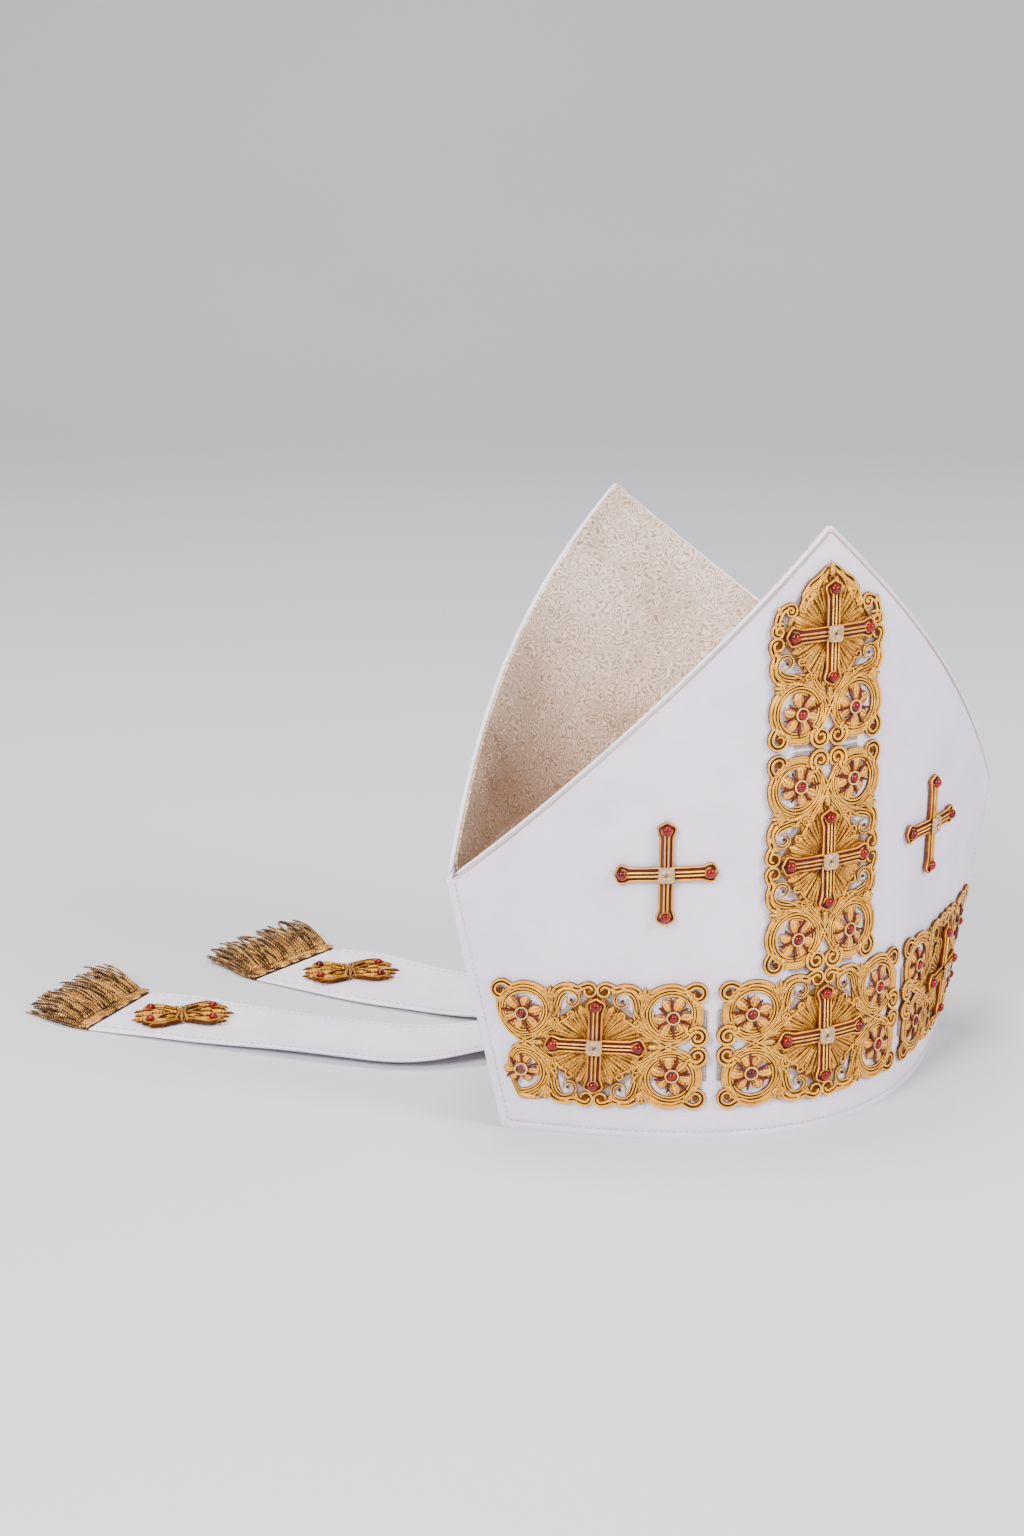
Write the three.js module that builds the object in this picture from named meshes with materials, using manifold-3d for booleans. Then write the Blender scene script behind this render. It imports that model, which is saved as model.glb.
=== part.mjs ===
// A bishop's mitre standing on its open foot, with its two lappets laid out behind it.
// Two stiff cloth panels, cut wider at the shoulders than at the foot, are sewn to each other
// down their sides, and a soft lining bridges the two pointed horns. Millimetres, +Z up,
// the front faces -Y, and the origin is the middle of the whole footprint.
import * as THREE from 'three';
import { mergeVertices } from 'three/addons/utils/BufferGeometryUtils.js';
import Module from 'manifold-3d';

const wasm = await Module();
wasm.setup();

// Panels: half widths are measured along the cloth, from the middle to the side seam.
const HALF_GIRTH_FOOT = 149;
const HALF_GIRTH_SHOULDER = 182;
const SHOULDER_HEIGHT = 122;
const FRONT_APEX = 277;
const BACK_APEX = 267.5;
const EDGE_HOLLOW = 0.3;        // how far a horn's slanting edge sags under a straight line
const SEAM_ANGLE = 46;          // degrees that the cloth has turned by the time it meets the seam
const NOSE_TIGHTNESS = 1.7;     // how much of that turn happens near the middle of the panel
const FRONT_SET_BACK = 0.15;    // the front's middle leans this far back for each unit of height
const WALL = 2;
const GAP = 0.3;                // clearance that sewn neighbours keep
const PANEL_COLUMNS = 48;

// Rolled edge and lining.
const BINDING_HEIGHT = 2;
const BINDING_WIDTH = 2.2;
const BINDING_END = 0.975;       // share of the half panel that the rolled edge reaches
const LINING_THICKNESS = 1;
const LINING_END = 0.945;       // share of the half panel that the lining reaches
const LINING_RISE = 1.2;        // how far the lining's top edge stands above the panel's
const VALLEY_RIM = 120;         // height where the lining leaves the walls, at the seams
const VALLEY_RIM_RISE = 12;     // how much higher it leaves them in the middle
const VALLEY_SAG = 22;
const VALLEY_FULLNESS = 2.6;    // 2 is an ellipse, more is a flatter floor with steeper sides
const LINING_COLUMNS = 32;
const LINING_WALL_ROWS = 4;
const LINING_VALLEY_ROWS = 8;

// Soft dents of the lining. along: share of the half panel, height and spreads in mm, depth in mm.
const LINING_DENTS = [
  { side: 'back', along: -0.62, height: 176, spreadAlong: 0.1, spreadHeight: 40, depth: 2.6 },
  { side: 'back', along: -0.1, height: 190, spreadAlong: 0.13, spreadHeight: 30, depth: 2.2 },
  { side: 'back', along: 0.3, height: 165, spreadAlong: 0.12, spreadHeight: 34, depth: 1.8 },
  { side: 'front', along: 0.45, height: 170, spreadAlong: 0.12, spreadHeight: 34, depth: 2.2 },
  { side: 'front', along: -0.3, height: 180, spreadAlong: 0.12, spreadHeight: 36, depth: 1.8 },
];

// Embroidered motifs: oblongs that lie 0.3 mm off the cloth.
const MOTIF_LENGTH = 101.6;
const MOTIF_WIDTH = 59;
const MOTIF_THICKNESS = 1.2;
const MOTIF_SEAM_MARGIN = 8.9;  // bare cloth between an outer motif and the side seam
const MOTIF_FLOWER_ALONG = 35.4;
const MOTIF_FLOWER_ACROSS = 14.1;
const FLOWER_BEAD_RADIUS = 2;
const MOTIF_STEP = 10.5;         // longest facet round the bend of the cloth
const MOTIF_STEPS_UP = 2;
const BAND_PITCH = 106.9;
const BAND_CENTRE_HEIGHT = 46.3;
const FRONT_TOP_MOTIF_HEIGHT = 232;
const BACK_TOP_MOTIF_HEIGHT = 229.6;
const TOP_MOTIF_MARGIN = 15.4;   // from the motif's point up to the panel's
const TOP_MOTIF_CLOSING = 17.6;  // height over which its sides close in to the point

// Crosses.
const MOTIF_CROSS_REACH = 19.5;  // centre to a bead's centre
const SMALL_CROSS_REACH = 20.1;
const CROSS_ARM = 6.4;
const CROSS_FLARE_ROOT = -3.5;   // from a bead's centre to where the end starts to widen
const CROSS_FLARE_OUT = 1.5;     // and to where it is widest
const CROSS_FLARE = 9.4;         // its width there
const CROSS_TIP = 4.3;           // from a bead's centre to the point
const CROSS_TIP_WIDTH = 0.8;
const CROSS_HEIGHT = 2.6;
const CROSS_BAR_STEP = 0.3;      // how far the crossbar lies within the upright's thickness
const CROSS_STATIONS = 4;        // sections that a straight stretch of arm is bent at
const CROSS_BEAD_RADIUS = 2.2;
const SMALL_CROSS_ALONG = 76.4;
const SMALL_CROSS_HEIGHT = 128.6;
const SETTING_SIDE = 7.4;
const SETTING_HEIGHT = 1.3;
const STONE_RADIUS = 1.5;

// Lappets: a row for each section, from the seam on the back panel to the fringe. x and y are
// measured from the middle of the foot, z is the under side, turn is the heading in degrees of
// the section's right-to-left line, width is the cloth's, and sewn is 1 where the strip lies on
// the back panel, at the distance rootAlong from the panel's middle, and 0 where it is free.
const LAPPETS = {
  left: {
    rootAlong: 50,
    ornament: { setback: 36, across: 1.5, turn: -24 },
    rows: [
      { x: -49, y: 66, z: 15.8, turn: 205, width: 51, sewn: 1 },
      { x: -49, y: 68, z: 11.5, turn: 205, width: 51, sewn: 1 },
      { x: -54, y: 75, z: 8.6, turn: 204, width: 53, sewn: 0.05 },
      { x: -73, y: 80.5, z: 6.6, turn: 205, width: 54, sewn: 0 },
      { x: -98, y: 89, z: 3, turn: 210, width: 53, sewn: 0 },
      { x: -120, y: 104, z: 0.6, turn: 216, width: 52, sewn: 0 },
      { x: -147, y: 132, z: 0, turn: 221, width: 52, sewn: 0 },
      { x: -169, y: 158, z: 0, turn: 221, width: 53, sewn: 0 },
      { x: -191, y: 184, z: 0, turn: 220, width: 54, sewn: 0 },
      { x: -221, y: 221, z: 0, turn: 214, width: 56, sewn: 0 },
    ],
  },
  right: {
    rootAlong: -8,
    ornament: { setback: 36, across: 1, turn: -24 },
    rows: [
      { x: 8, y: 75, z: 15.8, turn: 175, width: 53, sewn: 1 },
      { x: 8, y: 76.5, z: 11.5, turn: 175, width: 53, sewn: 1 },
      { x: 5, y: 84, z: 8.6, turn: 178, width: 55, sewn: 0.05 },
      { x: -8, y: 95, z: 6.4, turn: 185, width: 57, sewn: 0 },
      { x: -26, y: 108, z: 3, turn: 194, width: 57, sewn: 0 },
      { x: -43, y: 124, z: 0.6, turn: 203, width: 57, sewn: 0 },
      { x: -56, y: 141, z: 0, turn: 209, width: 57, sewn: 0 },
      { x: -69, y: 160, z: 0, turn: 212, width: 57, sewn: 0 },
      { x: -90, y: 191, z: 0, turn: 211, width: 58, sewn: 0 },
      { x: -114, y: 238, z: 0, turn: 201, width: 60, sewn: 0 },
    ],
  },
};
const LAPPET_THICKNESS = 2.2;
const LAPPET_STEPS_ALONG = 26;
const LAPPET_STEPS_ACROSS = 4;
const HEADING_LENGTH = 5;
const HEADING_THICKNESS = 3.6;
const FRINGE_LENGTH = 37;
const FRINGE_THICKNESS = 8;
const FRINGE_TIP_THICKNESS = 4;
const FRINGE_SWEEP = 13;         // how far the fringe is combed sideways by its ends
const FRINGE_SWEEP_POWER = 1.4;  // 1 is straight strands, more is a sweep that grows to the tips
const FRINGE_STEPS = 6;
const FRINGE_SPREAD = 3;         // how far its ends spread past the lappet's edges
const ORNAMENT_LENGTH = 48;
const ORNAMENT_WIDTH = 25;
const ORNAMENT_WAIST = 13;
// A quarter of its outline, from the point at one end to the waist, as shares of the half length
// and the half width.
const ORNAMENT_QUARTER = [[1, 0], [0.8, 0.55], [0.6, 1], [0.15, ORNAMENT_WAIST / ORNAMENT_WIDTH]];
const ORNAMENT_THICKNESS = 2;
const ORNAMENT_BEAD_ALONG = 15.5;
const ORNAMENT_BEAD_ACROSS = 8;

const material = (color, roughness, metalness = 0) =>
  new THREE.MeshStandardMaterial({ color, roughness, metalness });

const finishes = {
  whiteCloth: () => material(0xdcd9e3, 0.75),
  damask: () => material(0xd7c4ab, 0.8),
  goldThread: () => material(0xd9a24c, 0.4, 0.7),
  bullion: () => material(0xc98f3c, 0.35, 0.8),
  silver: () => material(0xd3c6ab, 0.4, 0.6),
  fringe: () => material(0xb08a4e, 0.5, 0.5),
};

const mitre = new THREE.Group();

function addPiece(name, geometry, finish) {
  const mesh = new THREE.Mesh(geometry, finish());
  mesh.name = name;
  mitre.add(mesh);
}

// The plan of half a panel, for a half width of 1: running totals of the cosine and sine of the
// cloth's direction, which turns from 0 at the middle to SEAM_ANGLE at the seam as a tanh curve.
const PLAN_STEPS = 400;
const clothDirection = (share) =>
  THREE.MathUtils.degToRad(SEAM_ANGLE) * Math.tanh(NOSE_TIGHTNESS * share) / Math.tanh(NOSE_TIGHTNESS);
const plan = [{ x: 0, y: 0 }];
for (let step = 1; step <= PLAN_STEPS; step += 1) {
  const direction = clothDirection((step - 0.5) / PLAN_STEPS);
  const last = plan[step - 1];
  plan.push({
    x: last.x + Math.cos(direction) / PLAN_STEPS,
    y: last.y + Math.sin(direction) / PLAN_STEPS,
  });
}
const PLAN_DEPTH = plan[PLAN_STEPS].y;

function planAt(share) {
  const place = Math.min(Math.abs(share), 1) * PLAN_STEPS;
  const low = Math.min(Math.floor(place), PLAN_STEPS - 1);
  const part = place - low;
  return {
    x: THREE.MathUtils.lerp(plan[low].x, plan[low + 1].x, part) * Math.sign(share),
    y: THREE.MathUtils.lerp(plan[low].y, plan[low + 1].y, part),
  };
}

const halfGirth = (height) =>
  HALF_GIRTH_FOOT + (HALF_GIRTH_SHOULDER - HALF_GIRTH_FOOT) * height / SHOULDER_HEIGHT;

const sides = {
  front: { facing: -1, apex: FRONT_APEX, setBack: FRONT_SET_BACK, topMotifHeight: FRONT_TOP_MOTIF_HEIGHT },
  back: { facing: 1, apex: BACK_APEX, setBack: 0, topMotifHeight: BACK_TOP_MOTIF_HEIGHT },
};

function topEdge(side, share) {
  const s = Math.abs(share);
  return SHOULDER_HEIGHT + (side.apex - SHOULDER_HEIGHT) * (1 - s) * (1 - EDGE_HOLLOW * s);
}

// A point of a panel's outer face, moved out of the face by lift. share runs from -1 to 1 between
// the seams, to the right as seen from outside the panel.
function facePoint(side, share, height, lift = 0) {
  const at = planAt(share);
  const half = halfGirth(height);
  const depth = half * (PLAN_DEPTH - at.y) - side.setBack * height * (1 - share * share);
  const direction = clothDirection(share);
  return new THREE.Vector3(
    -side.facing * (half * at.x + lift * Math.sin(direction)),
    side.facing * (depth + GAP / 2 + lift * Math.cos(direction)),
    height,
  );
}

const fromUnit = (unit) => 2 * unit - 1;

// A closed solid between two sheets of points, each columns x rows, one over the other. upper and
// lower are functions of a column and a row, both from 0 to 1. The faces point out when the
// column direction crossed with the row direction points from lower to upper.
function slab(columns, rows, upper, lower) {
  const positions = [];
  const index = [];
  const ring = columns + 1;
  const sheet = ring * (rows + 1);
  for (const surface of [upper, lower]) {
    for (let row = 0; row <= rows; row += 1) {
      for (let column = 0; column <= columns; column += 1) {
        positions.push(...surface(column / columns, row / rows).toArray());
      }
    }
  }
  const quad = (a, b, c, d) => index.push(a, b, c, a, c, d);
  for (let row = 0; row < rows; row += 1) {
    for (let column = 0; column < columns; column += 1) {
      const a = row * ring + column;
      quad(a, a + 1, a + ring + 1, a + ring);
      quad(sheet + a, sheet + a + ring, sheet + a + ring + 1, sheet + a + 1);
    }
    const left = row * ring;
    const right = left + columns;
    quad(left + ring, left + sheet + ring, left + sheet, left);
    quad(right, right + sheet, right + sheet + ring, right + ring);
  }
  for (let column = 0; column < columns; column += 1) {
    const top = rows * ring + column;
    quad(column, column + sheet, column + sheet + 1, column + 1);
    quad(top + 1, top + sheet + 1, top + sheet, top);
  }
  const geometry = new THREE.BufferGeometry();
  geometry.setAttribute('position', new THREE.Float32BufferAttribute(positions, 3));
  geometry.setIndex(index);
  return geometry;
}

// Panels. The inner face's end columns lie on the seam's own plane, so that the two panels meet
// in a mitred corner.
function panel(side) {
  const outer = (column, row) => {
    const share = fromUnit(column);
    return facePoint(side, share, row * topEdge(side, share));
  };
  const inner = (column, row) => {
    const share = fromUnit(column);
    const height = row * topEdge(side, share);
    if (Math.abs(share) < 1) {
      return facePoint(side, share, height, -WALL);
    }
    const corner = facePoint(side, share, height);
    corner.x -= Math.sign(corner.x) * WALL / Math.sin(clothDirection(1));
    return corner;
  };
  return slab(PANEL_COLUMNS, 1, outer, inner);
}

// Rolled edges, standing on the panels' slanting tops.
function edgeBinding(side) {
  const strip = (lift) => (column, row) => {
    const share = BINDING_END * fromUnit(column);
    return facePoint(side, share, topEdge(side, share) + GAP + row * BINDING_HEIGHT, lift);
  };
  const outerLift = (BINDING_WIDTH - WALL) / 2;
  return slab(PANEL_COLUMNS, 1, strip(outerLift), strip(outerLift - BINDING_WIDTH));
}

// Lining: a wall piece behind each panel and a gusset that bridges them. A section at one share
// of the width runs down the front wall, across the valley in a flat-bottomed bow, and up the back
// wall. lift moves it out towards the open side.
function liningDent(name, share, height) {
  return LINING_DENTS.filter((dent) => dent.side === name).reduce((sum, dent) => {
    const away = (share - dent.along) / dent.spreadAlong;
    const above = (height - dent.height) / dent.spreadHeight;
    return sum + dent.depth * Math.exp(-away * away - above * above);
  }, 0);
}

function liningWall(name, share, rim, part, lift) {
  const side = sides[name];
  const height = THREE.MathUtils.lerp(topEdge(side, share) + LINING_RISE, rim, part);
  const dent = liningDent(name, share, height) * Math.sin(Math.PI * part);
  const clear = WALL + GAP + LINING_THICKNESS / 2 + dent;
  return facePoint(side, -side.facing * share, height, -clear - lift);
}

const bow = (value) => Math.sign(value) * Math.abs(value) ** (2 / VALLEY_FULLNESS);

const liningRim = (share) => VALLEY_RIM + VALLEY_RIM_RISE * (1 - share * share);

function wallLining(name) {
  const face = (lift) => (column, row) => {
    const share = LINING_END * fromUnit(column);
    return liningWall(name, share, liningRim(share), name === 'front' ? row : 1 - row, lift);
  };
  const faces = [face(LINING_THICKNESS / 2), face(-LINING_THICKNESS / 2)];
  return slab(LINING_COLUMNS, LINING_WALL_ROWS, ...faces);
}

function gussetPoint(share, across, lift) {
  const rim = liningRim(share);
  const angle = Math.PI * across;
  const front = liningWall('front', share, rim, 1, lift);
  const back = liningWall('back', share, rim, 1, lift);
  const point = front.lerp(back, (1 - bow(Math.cos(angle))) / 2);
  point.z = rim - GAP - (VALLEY_SAG * (1 - share * share) - lift) * bow(Math.sin(angle));
  return point;
}

function gusset() {
  const face = (lift) => (column, row) => gussetPoint(LINING_END * fromUnit(column), row, lift);
  const faces = [face(LINING_THICKNESS / 2), face(-LINING_THICKNESS / 2)];
  return slab(LINING_COLUMNS, LINING_VALLEY_ROWS, ...faces);
}

for (const [name, side] of Object.entries(sides)) {
  addPiece(`${name}_panel`, panel(side), finishes.whiteCloth);
  addPiece(`${name}_edge_binding`, edgeBinding(side), finishes.whiteCloth);
  addPiece(`${name}_lining`, wallLining(name), finishes.damask);
}
addPiece('gusset', gusset(), finishes.damask);

// Joining: a geometry's vertices are merged by place, and it becomes a solid.
const MERGE_DISTANCE = 1e-4;

function toSolid(geometry) {
  const bare = geometry.clone();
  bare.deleteAttribute('normal');
  bare.deleteAttribute('uv');
  const merged = mergeVertices(bare, MERGE_DISTANCE);
  return new wasm.Manifold(new wasm.Mesh({
    numProp: 3,
    vertProperties: new Float32Array(merged.attributes.position.array),
    triVerts: new Uint32Array(merged.index.array),
  }));
}

function join(geometries) {
  const mesh = geometries.map(toSolid).reduce((sum, solid) => sum.add(solid)).getMesh();
  const geometry = new THREE.BufferGeometry();
  geometry.setAttribute('position', new THREE.BufferAttribute(mesh.vertProperties, 3));
  geometry.setIndex(new THREE.BufferAttribute(mesh.triVerts, 1));
  return geometry;
}

const BEAD_SEGMENTS = 6;
const BEAD_RINGS = 4;

// A bead half sunk in a plate of a given thickness, or resting on the plate's own bed.
function bead(x, y, thickness, radius) {
  const ball = new THREE.SphereGeometry(radius, BEAD_SEGMENTS, BEAD_RINGS);
  return ball.translate(x, y, Math.max(thickness, radius));
}

// What is sewn to a panel is made flat, with X to the right, Y up the cloth and Z out of it. Each
// point is carried onto the bent cloth, and then the pieces are joined.
function sewOn(side, spot, lift, pieces) {
  for (const points of pieces.map((piece) => piece.attributes.position)) {
    for (let i = 0; i < points.count; i += 1) {
      const height = spot.height + points.getY(i);
      const share = (spot.along + points.getX(i)) / halfGirth(height);
      points.setXYZ(i, ...facePoint(side, share, height, lift + points.getZ(i)).toArray());
    }
  }
  return join(pieces);
}

// How far an oblong motif reaches along its long side, which way, at a distance across it. The
// outer motifs of the foot band stop short of the side seam. The top motif closes to a point.
function motifReach(spot, way, across) {
  if (spot.point && way > 0) {
    return spot.point - TOP_MOTIF_CLOSING * (1 - Math.cos(2 * Math.PI * across / MOTIF_WIDTH)) / 2;
  }
  const room = halfGirth(spot.height + across) - MOTIF_SEAM_MARGIN - way * spot.along;
  return way * (spot.upright ? MOTIF_LENGTH / 2 : Math.min(MOTIF_LENGTH / 2, room));
}

function motif(side, spot) {
  const sheet = (z) => (column, row) => {
    const [alongUnit, acrossUnit] = spot.upright ? [row, column] : [column, row];
    const across = fromUnit(acrossUnit) * MOTIF_WIDTH / 2;
    const along = THREE.MathUtils.lerp(
      motifReach(spot, -1, across),
      motifReach(spot, 1, across),
      alongUnit,
    );
    return spot.upright ? new THREE.Vector3(across, along, z) : new THREE.Vector3(along, across, z);
  };
  const columns = Math.ceil((spot.upright ? MOTIF_WIDTH : MOTIF_LENGTH) / MOTIF_STEP);
  const pieces = [slab(columns, MOTIF_STEPS_UP, sheet(MOTIF_THICKNESS), sheet(0))];
  for (const end of spot.point ? [-1] : [-1, 1]) {
    for (const flank of [-1, 1]) {
      const flower = [end * MOTIF_FLOWER_ALONG, flank * MOTIF_FLOWER_ACROSS];
      const [x, y] = spot.upright ? flower.reverse() : flower;
      pieces.push(bead(x, y, MOTIF_THICKNESS, FLOWER_BEAD_RADIUS));
    }
  }
  return sewOn(side, spot, GAP, pieces);
}

// Crosses: two bars, the upright one over the other, each widening to a flared end round its bead.
// A station is a place along the bar and the bar's half width there.
const straightArm = (end) => Array.from({ length: CROSS_STATIONS }, (_, i) => ({
  out: THREE.MathUtils.lerp(CROSS_ARM / 2, end, i / (CROSS_STATIONS - 1)),
  half: CROSS_ARM / 2,
}));

function crossBar(reach, upright) {
  const arm = [
    ...straightArm(reach + CROSS_FLARE_ROOT),
    { out: reach + CROSS_FLARE_OUT, half: CROSS_FLARE / 2 },
    { out: reach + CROSS_TIP, half: CROSS_TIP_WIDTH / 2 },
  ];
  const mirrored = arm.map(({ out, half }) => ({ out: -out, half })).reverse();
  const stations = [...mirrored, ...arm];
  const [low, high] = upright ? [0, CROSS_HEIGHT] : [CROSS_BAR_STEP, CROSS_HEIGHT - CROSS_BAR_STEP];
  const sheet = (z) => (column, row) => {
    const station = stations[Math.round((upright ? row : column) * (stations.length - 1))];
    const beside = station.half * fromUnit(upright ? column : row);
    return upright ? new THREE.Vector3(beside, station.out, z) : new THREE.Vector3(station.out, beside, z);
  };
  const steps = [stations.length - 1, 1];
  const [columns, rows] = upright ? steps.reverse() : steps;
  return slab(columns, rows, sheet(high), sheet(low));
}

function cross(side, spot, reach, lift) {
  const pieces = [crossBar(reach, true), crossBar(reach, false)];
  for (const way of [-reach, reach]) {
    pieces.push(bead(way, 0, CROSS_HEIGHT, CROSS_BEAD_RADIUS));
    pieces.push(bead(0, way, CROSS_HEIGHT, CROSS_BEAD_RADIUS));
  }
  return sewOn(side, spot, lift, pieces);
}

function setting(side, spot, lift) {
  const plate = new THREE.BoxGeometry(SETTING_SIDE, SETTING_SIDE, SETTING_HEIGHT);
  plate.translate(0, 0, SETTING_HEIGHT / 2);
  return sewOn(side, spot, lift, [plate, bead(0, 0, SETTING_HEIGHT, STONE_RADIUS)]);
}

// What each panel carries. A motif's cross lies on the motif, a small cross on the bare cloth.
// The column motif stands midway between the band and the top motif.
function motifSpots(side) {
  const top = side.topMotifHeight;
  const bandTop = BAND_CENTRE_HEIGHT + MOTIF_WIDTH / 2;
  return [
    { name: 'band_left', along: -BAND_PITCH, height: BAND_CENTRE_HEIGHT },
    { name: 'band_middle', along: 0, height: BAND_CENTRE_HEIGHT },
    { name: 'band_right', along: BAND_PITCH, height: BAND_CENTRE_HEIGHT },
    { name: 'column', along: 0, height: (bandTop + top - MOTIF_LENGTH / 2) / 2, upright: true },
    { name: 'top', along: 0, height: top, upright: true, point: side.apex - TOP_MOTIF_MARGIN - top },
  ];
}

const smallCrossSpots = [
  { name: 'small_left', along: -SMALL_CROSS_ALONG, height: SMALL_CROSS_HEIGHT },
  { name: 'small_right', along: SMALL_CROSS_ALONG, height: SMALL_CROSS_HEIGHT },
];

for (const [name, side] of Object.entries(sides)) {
  for (const spot of motifSpots(side)) {
    const lift = GAP + MOTIF_THICKNESS + GAP;
    addPiece(`${name}_${spot.name}_motif`, motif(side, spot), finishes.goldThread);
    addPiece(`${name}_${spot.name}_cross`, cross(side, spot, MOTIF_CROSS_REACH, lift), finishes.bullion);
    addPiece(`${name}_${spot.name}_setting`, setting(side, spot, lift + CROSS_HEIGHT + GAP), finishes.silver);
  }
  for (const spot of smallCrossSpots) {
    addPiece(`${name}_${spot.name}_cross`, cross(side, spot, SMALL_CROSS_REACH, GAP), finishes.bullion);
    addPiece(`${name}_${spot.name}_setting`, setting(side, spot, GAP + CROSS_HEIGHT + GAP), finishes.silver);
  }
}

// Lappets. Each column of the section table runs as a smooth curve through its rows, and the last
// section's direction carries on past the end, for the braid and the fringe.
for (const lappet of Object.values(LAPPETS)) {
  const [before, end] = lappet.rows.slice(-2);
  lappet.heading = new THREE.Vector3(end.x - before.x, end.y - before.y, 0).normalize();
  lappet.curves = Object.keys(end).map((value) => {
    const points = lappet.rows.map((row, i) => new THREE.Vector2(i, row[value]));
    return [value, new THREE.SplineCurve(points)];
  });
}

// The strip rests on the ground or above it, wherever its curve would dip below.
function lappetSection(lappet, part) {
  const section = Object.fromEntries(lappet.curves.map(([value, curve]) => [value, curve.getPoint(part).y]));
  section.z = Math.max(section.z, 0);
  return section;
}

// A point of the strip: across runs from -1 to 1 over the width, above is the height over the
// under side, which on the sewn stretch is the distance off the panel.
function lappetPoint(lappet, part, across, above) {
  const section = lappetSection(lappet, part);
  const turn = THREE.MathUtils.degToRad(section.turn);
  const reach = across * section.width / 2;
  const free = new THREE.Vector3(
    section.x + reach * Math.cos(turn),
    section.y + reach * Math.sin(turn),
    section.z + above,
  );
  const share = (lappet.rootAlong + reach) / halfGirth(section.z);
  const sewn = facePoint(sides.back, share, section.z, GAP + above);
  return free.lerp(sewn, THREE.MathUtils.clamp(section.sewn, 0, 1));
}

function lappetStrip(lappet) {
  const sheet = (above) => (column, row) => lappetPoint(lappet, row, -fromUnit(column), above);
  return slab(LAPPET_STEPS_ACROSS, LAPPET_STEPS_ALONG, sheet(LAPPET_THICKNESS), sheet(0));
}

// Past the lappet's end: beyond is the distance from its edge along the heading, sideways the
// distance along the end's own line.
function beyondEnd(lappet, beyond, across, above, sideways = 0) {
  const section = lappetSection(lappet, 1);
  const turn = THREE.MathUtils.degToRad(section.turn);
  const along = new THREE.Vector3(Math.cos(turn), Math.sin(turn), 0);
  return lappetPoint(lappet, 1, across, above)
    .addScaledVector(lappet.heading, beyond)
    .addScaledVector(along, sideways);
}

function fringeHeading(lappet) {
  const sheet = (above) => (column, row) =>
    beyondEnd(lappet, GAP + row * HEADING_LENGTH, -fromUnit(column), above);
  return slab(LAPPET_STEPS_ACROSS, 1, sheet(HEADING_THICKNESS), sheet(0));
}

function fringe(lappet) {
  const start = GAP + HEADING_LENGTH + GAP;
  const sheet = (thick) => (column, row) => {
    const across = -fromUnit(column);
    const height = thick * THREE.MathUtils.lerp(FRINGE_THICKNESS, FRINGE_TIP_THICKNESS, row ** 2);
    const sideways = across * FRINGE_SPREAD * row - FRINGE_SWEEP * row ** FRINGE_SWEEP_POWER;
    return beyondEnd(lappet, start + row * FRINGE_LENGTH, across, height, sideways);
  };
  return slab(FRINGE_STEPS, FRINGE_STEPS, sheet(1), sheet(0));
}

// Ornament: a bow-tie plate lying on the lappet, with a red bead at each corner.
function ornament(lappet) {
  const { setback, across, turn } = lappet.ornament;
  const quarter = ORNAMENT_QUARTER.map(([x, y]) => [x * ORNAMENT_LENGTH / 2, y * ORNAMENT_WIDTH / 2]);
  const upper = [...quarter, ...quarter.map(([x, y]) => [-x, y]).reverse()];
  const lower = upper.slice(1, -1).map(([x, y]) => [x, -y]).reverse();
  const outline = new THREE.Shape([...upper, ...lower].map(([x, y]) => new THREE.Vector2(x, y)));
  const pieces = [new THREE.ExtrudeGeometry(outline, { depth: ORNAMENT_THICKNESS, bevelEnabled: false })];
  for (const x of [-ORNAMENT_BEAD_ALONG, ORNAMENT_BEAD_ALONG]) {
    for (const y of [-ORNAMENT_BEAD_ACROSS, ORNAMENT_BEAD_ACROSS]) {
      pieces.push(bead(x, y, ORNAMENT_THICKNESS, FLOWER_BEAD_RADIUS));
    }
  }
  const centre = beyondEnd(lappet, -setback, 0, LAPPET_THICKNESS + GAP, across);
  const geometry = join(pieces);
  geometry.rotateZ(THREE.MathUtils.degToRad(turn));
  return geometry.translate(...centre.toArray());
}

for (const [name, lappet] of Object.entries(LAPPETS)) {
  addPiece(`${name}_lappet`, lappetStrip(lappet), finishes.whiteCloth);
  addPiece(`${name}_fringe_heading`, fringeHeading(lappet), finishes.fringe);
  addPiece(`${name}_fringe`, fringe(lappet), finishes.fringe);
  addPiece(`${name}_lappet_ornament`, ornament(lappet), finishes.bullion);
}

// The origin: the middle of the footprint, on the surface that the mitre stands on.
const box = new THREE.Box3().setFromObject(mitre);
const middle = box.getCenter(new THREE.Vector3());
mitre.position.set(-middle.x, -middle.y, -box.min.z);

export default mitre;
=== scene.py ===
import math

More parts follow.
